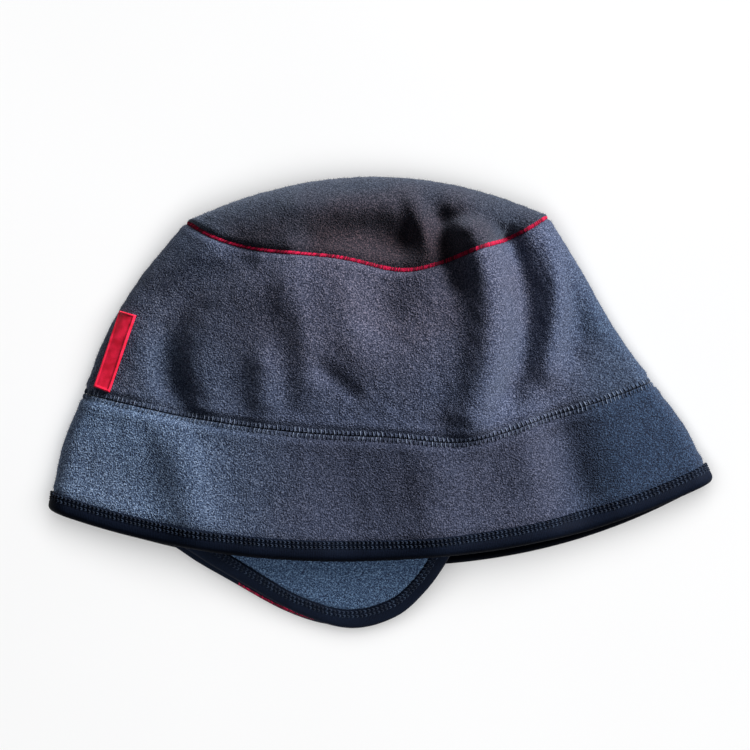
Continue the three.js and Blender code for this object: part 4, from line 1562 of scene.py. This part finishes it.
@dataclass
class EarFlap:
    """An ear flap of fleece with the tape round its edge."""

    shop: Workshop
    form: FlapForm
    node: str
    columns: int = 170
    rows: int = 60
    edge_rows: int = 14
    edge_share: float = 0.9
    tape_start: float = 2 / 26
    flat: tuple[float, float] = (0.150, 0.082)
    area_share: float = 0.72

    def cloth(self) -> None:
        """Builds the fleece."""
        u = np.linspace(0, 1, self.columns + 1)[None]
        near_edge = np.linspace(1, self.edge_share, self.edge_rows)
        t = np.concatenate([near_edge[:-1], np.linspace(self.edge_share, 0, self.rows)])[:, None]
        base, normals = self.form.point(u, t), self.form.normal(u, t)
        from_edge, _ = distances(base)
        free = smooth(from_edge, TAPE_LEG + 1, TAPE_LEG + 4)
        height = below_tape_profile(from_edge) + free * rippled(base, (9, 6.0, 0.06))
        bare = 1 - smooth(from_edge, *BARE_AT_TAPE)
        lie, fleece = {"closed": False, "bare": bare, "thickness": FLAP_FLEECE}, self.shop.flap_fleece
        made = self.shop.cut(f"{self.node}_cloth", fleece, base, normals, height, **lie)
        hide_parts(self.node)
        area = self.flat[0] * self.flat[1] * self.area_share
        self.shop.raise_nap(made, fleece, seed=34)

    def edge(self) -> TapeEdge:
        """The raw edge that the tape goes round."""
        u = np.linspace(self.tape_start, 1 - self.tape_start, 260)
        lengths = self.form.column_length(u)
        shares = 1 - np.linspace(0, TAPE_LEG, 7)[:, None] / lengths[None]
        wide = np.broadcast_to(u[None], shares.shape)
        return TapeEdge(self.form.point(wide, shares), self.form.normal(wide, shares), FLAP_FLEECE)

    def build(self, seam: TapeSeam) -> None:
        """Builds the flap and sews its tape on, given how it is sewn on the upper face."""
        self.cloth()
        edge = self.edge()
        tape = edge.tape(f"{self.node}_tape", False, self.shop)
        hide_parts(f"{self.node}_binding")
        sew, navy = self.shop.sew, self.shop.navy_thread
        over, under = edge.line(CHEVRON_LINE, TAPE_TOP, False), edge.under_line(CHEVRON_LINE, TAPE_TOP, False)
        if seam.on_roll:
            over = edge.roll_line(RED_ANGLE, TAPE_TOP + 0.3)
        over = over.after(seam.start)
        sew(f"{self.node}_stitches", over, seam.strands, seam.pitch, seam.slot, seam.thread, wobble=0.08)
        sew(f"{self.node}_inner_stitches", under, RUNNING, RUNNING_PITCH, "binding", navy)


@dataclass
class SewnSeams:
    """The stitches of the tonal band seam and of the red crown seam."""

    shop: Workshop
    front_steps: int = 400
    rear_steps: int = 300
    fold_steps: int = 24
    rung_pitch: float = 1.9
    row_offset: float = 1.2
    rung_rise: float = -0.28
    slant_rise: float = -0.20
    red_pitch: float = 0.55
    red_rise: float = -0.55

    def seam_path(self, station: float) -> Path:
        """The line of a seam round the cap."""
        form, step = self.shop.form, 0.012
        turns = ring_turns(self.front_steps, self.rear_steps, self.fold_steps)
        at = np.full(turns.shape, station)
        above = form.point(turns, at + step)
        return path_between(form.point(turns, at), above, form.normal(turns, at), True)

    def build(self) -> None:
        """Sews both seams."""
        band, crown = self.seam_path(BAND_SEAM), self.seam_path(CROWN_SEAM).moved(0.0, self.red_rise)
        upper = band.moved(self.row_offset, self.rung_rise)
        lower = band.moved(-self.row_offset, self.slant_rise)
        sew, grey, red = self.shop.sew, self.shop.grey_thread, self.shop.red_thread
        sew("band_seam_rungs", upper, RUNG, self.rung_pitch, "seam_thread", grey, wobble=0.06)
        sew("band_seam_slants", lower, SLANT, self.rung_pitch, "seam_thread", grey, wobble=0.06, seed=5)
        sew("crown_seam_stitches", crown, RED_SATIN, self.red_pitch, "red_thread", red)


@dataclass
class SideTab:
    """The moulded rubber tab on the left of the front wall, with a raised frame and a bare face."""

    shop: Workshop
    rows: int = 110
    columns: int = 30
    seat: float = 0.45
    thickness: float = 1.2
    frame_height: float = 0.22
    face_depth: float = 0.16

    def build(self) -> None:
        """Builds the tab."""
        form = self.shop.form
        down = np.linspace(0, 1, self.rows)[:, None, None]
        right = np.linspace(0, 1, self.columns)[None, :, None]
        low = lerp(np.array(TAB_BOTTOM_LEFT), np.array(TAB_BOTTOM_RIGHT), right)
        high = lerp(np.array(TAB_TOP_LEFT), np.array(TAB_TOP_RIGHT), right)
        plan = lerp(low, high, down)
        turn, station = form.front_place(plan[..., 0], plan[..., 1])
        turn, station = self.settle(plan, turn, station)
        base, normals = form.point(turn, station), form.normal(turn, station)
        up, back = distances(base)
        left, over = (grid.T for grid in distances(np.swapaxes(base, 0, 1)))
        near = np.minimum(np.minimum(up, back), np.minimum(left, over))
        frame_rise = self.frame_height * bump(near, centre=0.55, width=0.34)
        frame_rise = frame_rise - self.face_depth * smooth(near, low=0.8, high=1.2)
        height = self.seat + self.thickness + frame_rise - rounded_edge(near, radius=0.35)
        tab = shell("tab_rubber_piece", base + normals * height[..., None], base + normals * self.seat, False)
        self.shop.keep(tab, "tab_rubber", self.shop.rubber)
        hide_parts("side_label")

    def settle(self, plan: Array, turn: Array, station: Array) -> tuple[Array, Array]:
        """Finds the places on the front wall that lie exactly below the plan's points."""
        form, step, rounds = self.shop.form, 0.01, 30
        turn = np.clip(turn, 0.15, 2)
        for _ in range(rounds):
            here = form.point(turn, station)
            by_turn = (form.point(turn + step, station) - here) / step
            by_station = (form.point(turn, station + step) - here) / step
            det = by_turn[..., 0] * by_station[..., 1] - by_turn[..., 1] * by_station[..., 0]
            miss_x, miss_y = plan[..., 0] - here[..., 0], plan[..., 1] - here[..., 1]
            turn = turn + (miss_x * by_station[..., 1] - miss_y * by_station[..., 0]) / det
            station = station + (miss_y * by_turn[..., 0] - miss_x * by_turn[..., 1]) / det
            turn = np.clip(turn, 0.05, 2)
        return turn, station


class Shines(Enum):
    """What a lamp shines on."""

    CAP = "cap"
    FLAPS = "flaps"
    FLOOR = "floor"


@dataclass(frozen=True)
class Lamp:
    """A soft square lamp."""

    name: str
    towards: Triple
    distance: float
    size: float
    power: float
    colour: Triple
    shines: Shines

    def build(self, targets: dict[Shines, bpy.types.Collection]) -> None:
        """Hangs the lamp, given what each kind of lamp shines on."""
        light = bpy.data.lights.new(self.name, "AREA")
        light.size = self.size
        light.energy = self.power
        light.color = self.colour
        made = new_object(self.name, light)
        way = Vector(self.towards).normalized()
        made.location = way * self.distance
        made.rotation_mode = "QUATERNION"
        made.rotation_quaternion = way.to_track_quat("Z", "Y")
        made.light_linking.receiver_collection = targets[self.shines]


@dataclass
class Studio:
    """The pale floor, the soft lamps and the camera straight above."""

    camera_place: Triple = (-0.0024, 0.0117, 1.1)
    lens: float = 118.9
    sensor: float = 36.0
    lamps: tuple[Lamp, ...] = (
        Lamp("key", (0.68, 0.56, 0.48), 1.3, 0.6, 48.0, (1.0, 0.985, 0.97), Shines.CAP),
        Lamp("overhead", (-0.1, 0.15, 1.0), 1.5, 1.2, 1.0, (0.93, 0.96, 1.0), Shines.CAP),
        Lamp("mouth fill", (0.1, -0.75, 0.9), 1.1, 0.6, 8.5, (0.95, 0.98, 1.0), Shines.FLAPS),
        Lamp("floor lamp", (0.1, 0.1, 1.0), 1.6, 2.4, 45.0, (1.0, 1.0, 1.0), Shines.FLOOR),
    )
    sky: Colour = (0.92, 0.95, 1.0, 1)
    sky_strength: float = 0.075
    floor_half: float = 3.0

    def build(self) -> None:
        """Builds the studio."""
        targets = {kind: bpy.data.collections.new(f"lit {kind.value}") for kind in Shines}
        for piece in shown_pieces():
            targets[Shines.CAP].objects.link(piece)
            if piece.name.startswith((NEAR_FLAP, FAR_FLAP)):
                targets[Shines.FLAPS].objects.link(piece)
        targets[Shines.FLOOR].objects.link(self.lay_floor())
        for lamp in self.lamps:
            lamp.build(targets)
        world = bpy.data.worlds.new("soft sky")
        world.use_nodes = True
        sky = world.node_tree.nodes["Background"]
        sky.inputs["Color"].default_value = self.sky
        sky.inputs["Strength"].default_value = self.sky_strength
        bpy.context.scene.world = world
        bpy.context.scene.view_settings.view_transform = "Standard"
        lens = bpy.data.cameras.new("photo")
        lens.lens = self.lens
        lens.sensor_width = self.sensor
        lens.clip_end = 20
        camera = new_object("photo", lens)
        camera.location = self.camera_place
        bpy.context.scene.camera = camera

    def lay_floor(self) -> Piece:
        """Lays the floor just below the ground plane, and gives it."""
        half, below = self.floor_half / MM, -0.05
        corners = np.array([(x * half, y * half, below) for x, y in ((-1, -1), (1, -1), (1, 1), (-1, 1))])
        floor = as_mesh("floor", corners, [(0, 1, 2, 3)])
        shader = Shader("pale floor")
        share = shader.noise(4.0, 2.0, 0.5).between(0.3, 0.7)
        tone = shader.mix(share, (0.90, 0.90, 0.90, 1), (0.92, 0.92, 0.92, 1))
        floor.data.materials.append(shader.finish({"Base Color": tone, "Roughness": 0.9}))
        floor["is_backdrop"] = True
        return floor


def main() -> None:
    """Builds the cap's pieces in order, then the studio."""
    logging.basicConfig(level=logging.INFO, format="%(name)s %(message)s")
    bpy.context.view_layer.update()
    shop = Workshop()
    CrownTip(shop).build()
    CrownSide(shop, front_steps=300, rear_steps=150, rows=58, flat=(0.500, 0.086)).build()
    Band(shop, front_steps=300, rear_steps=170, rows=26, flat=(0.580, 0.056)).build()
    RimBinding(shop).build()
    near = FlapForm(shop.form, NearFlapLie(), (0.0, 0.0))
    tonal = TapeSeam(shop.navy_thread, "binding", CHEVRON, CHEVRON_PITCH)
    EarFlap(shop, near, NEAR_FLAP).build(tonal)
    far = FlapForm(shop.form, FarFlapLie(), (-6.5, 1.0))
    red = TapeSeam(shop.red_thread, "red_thread", RED_LOOP, 0.8, on_roll=True, start=0.36)
    EarFlap(shop, far, FAR_FLAP).build(red)
    SewnSeams(shop).build()
    SideTab(shop).build()
    shop.clear()
    Studio().build()


if __name__ == "__main__":
    main()
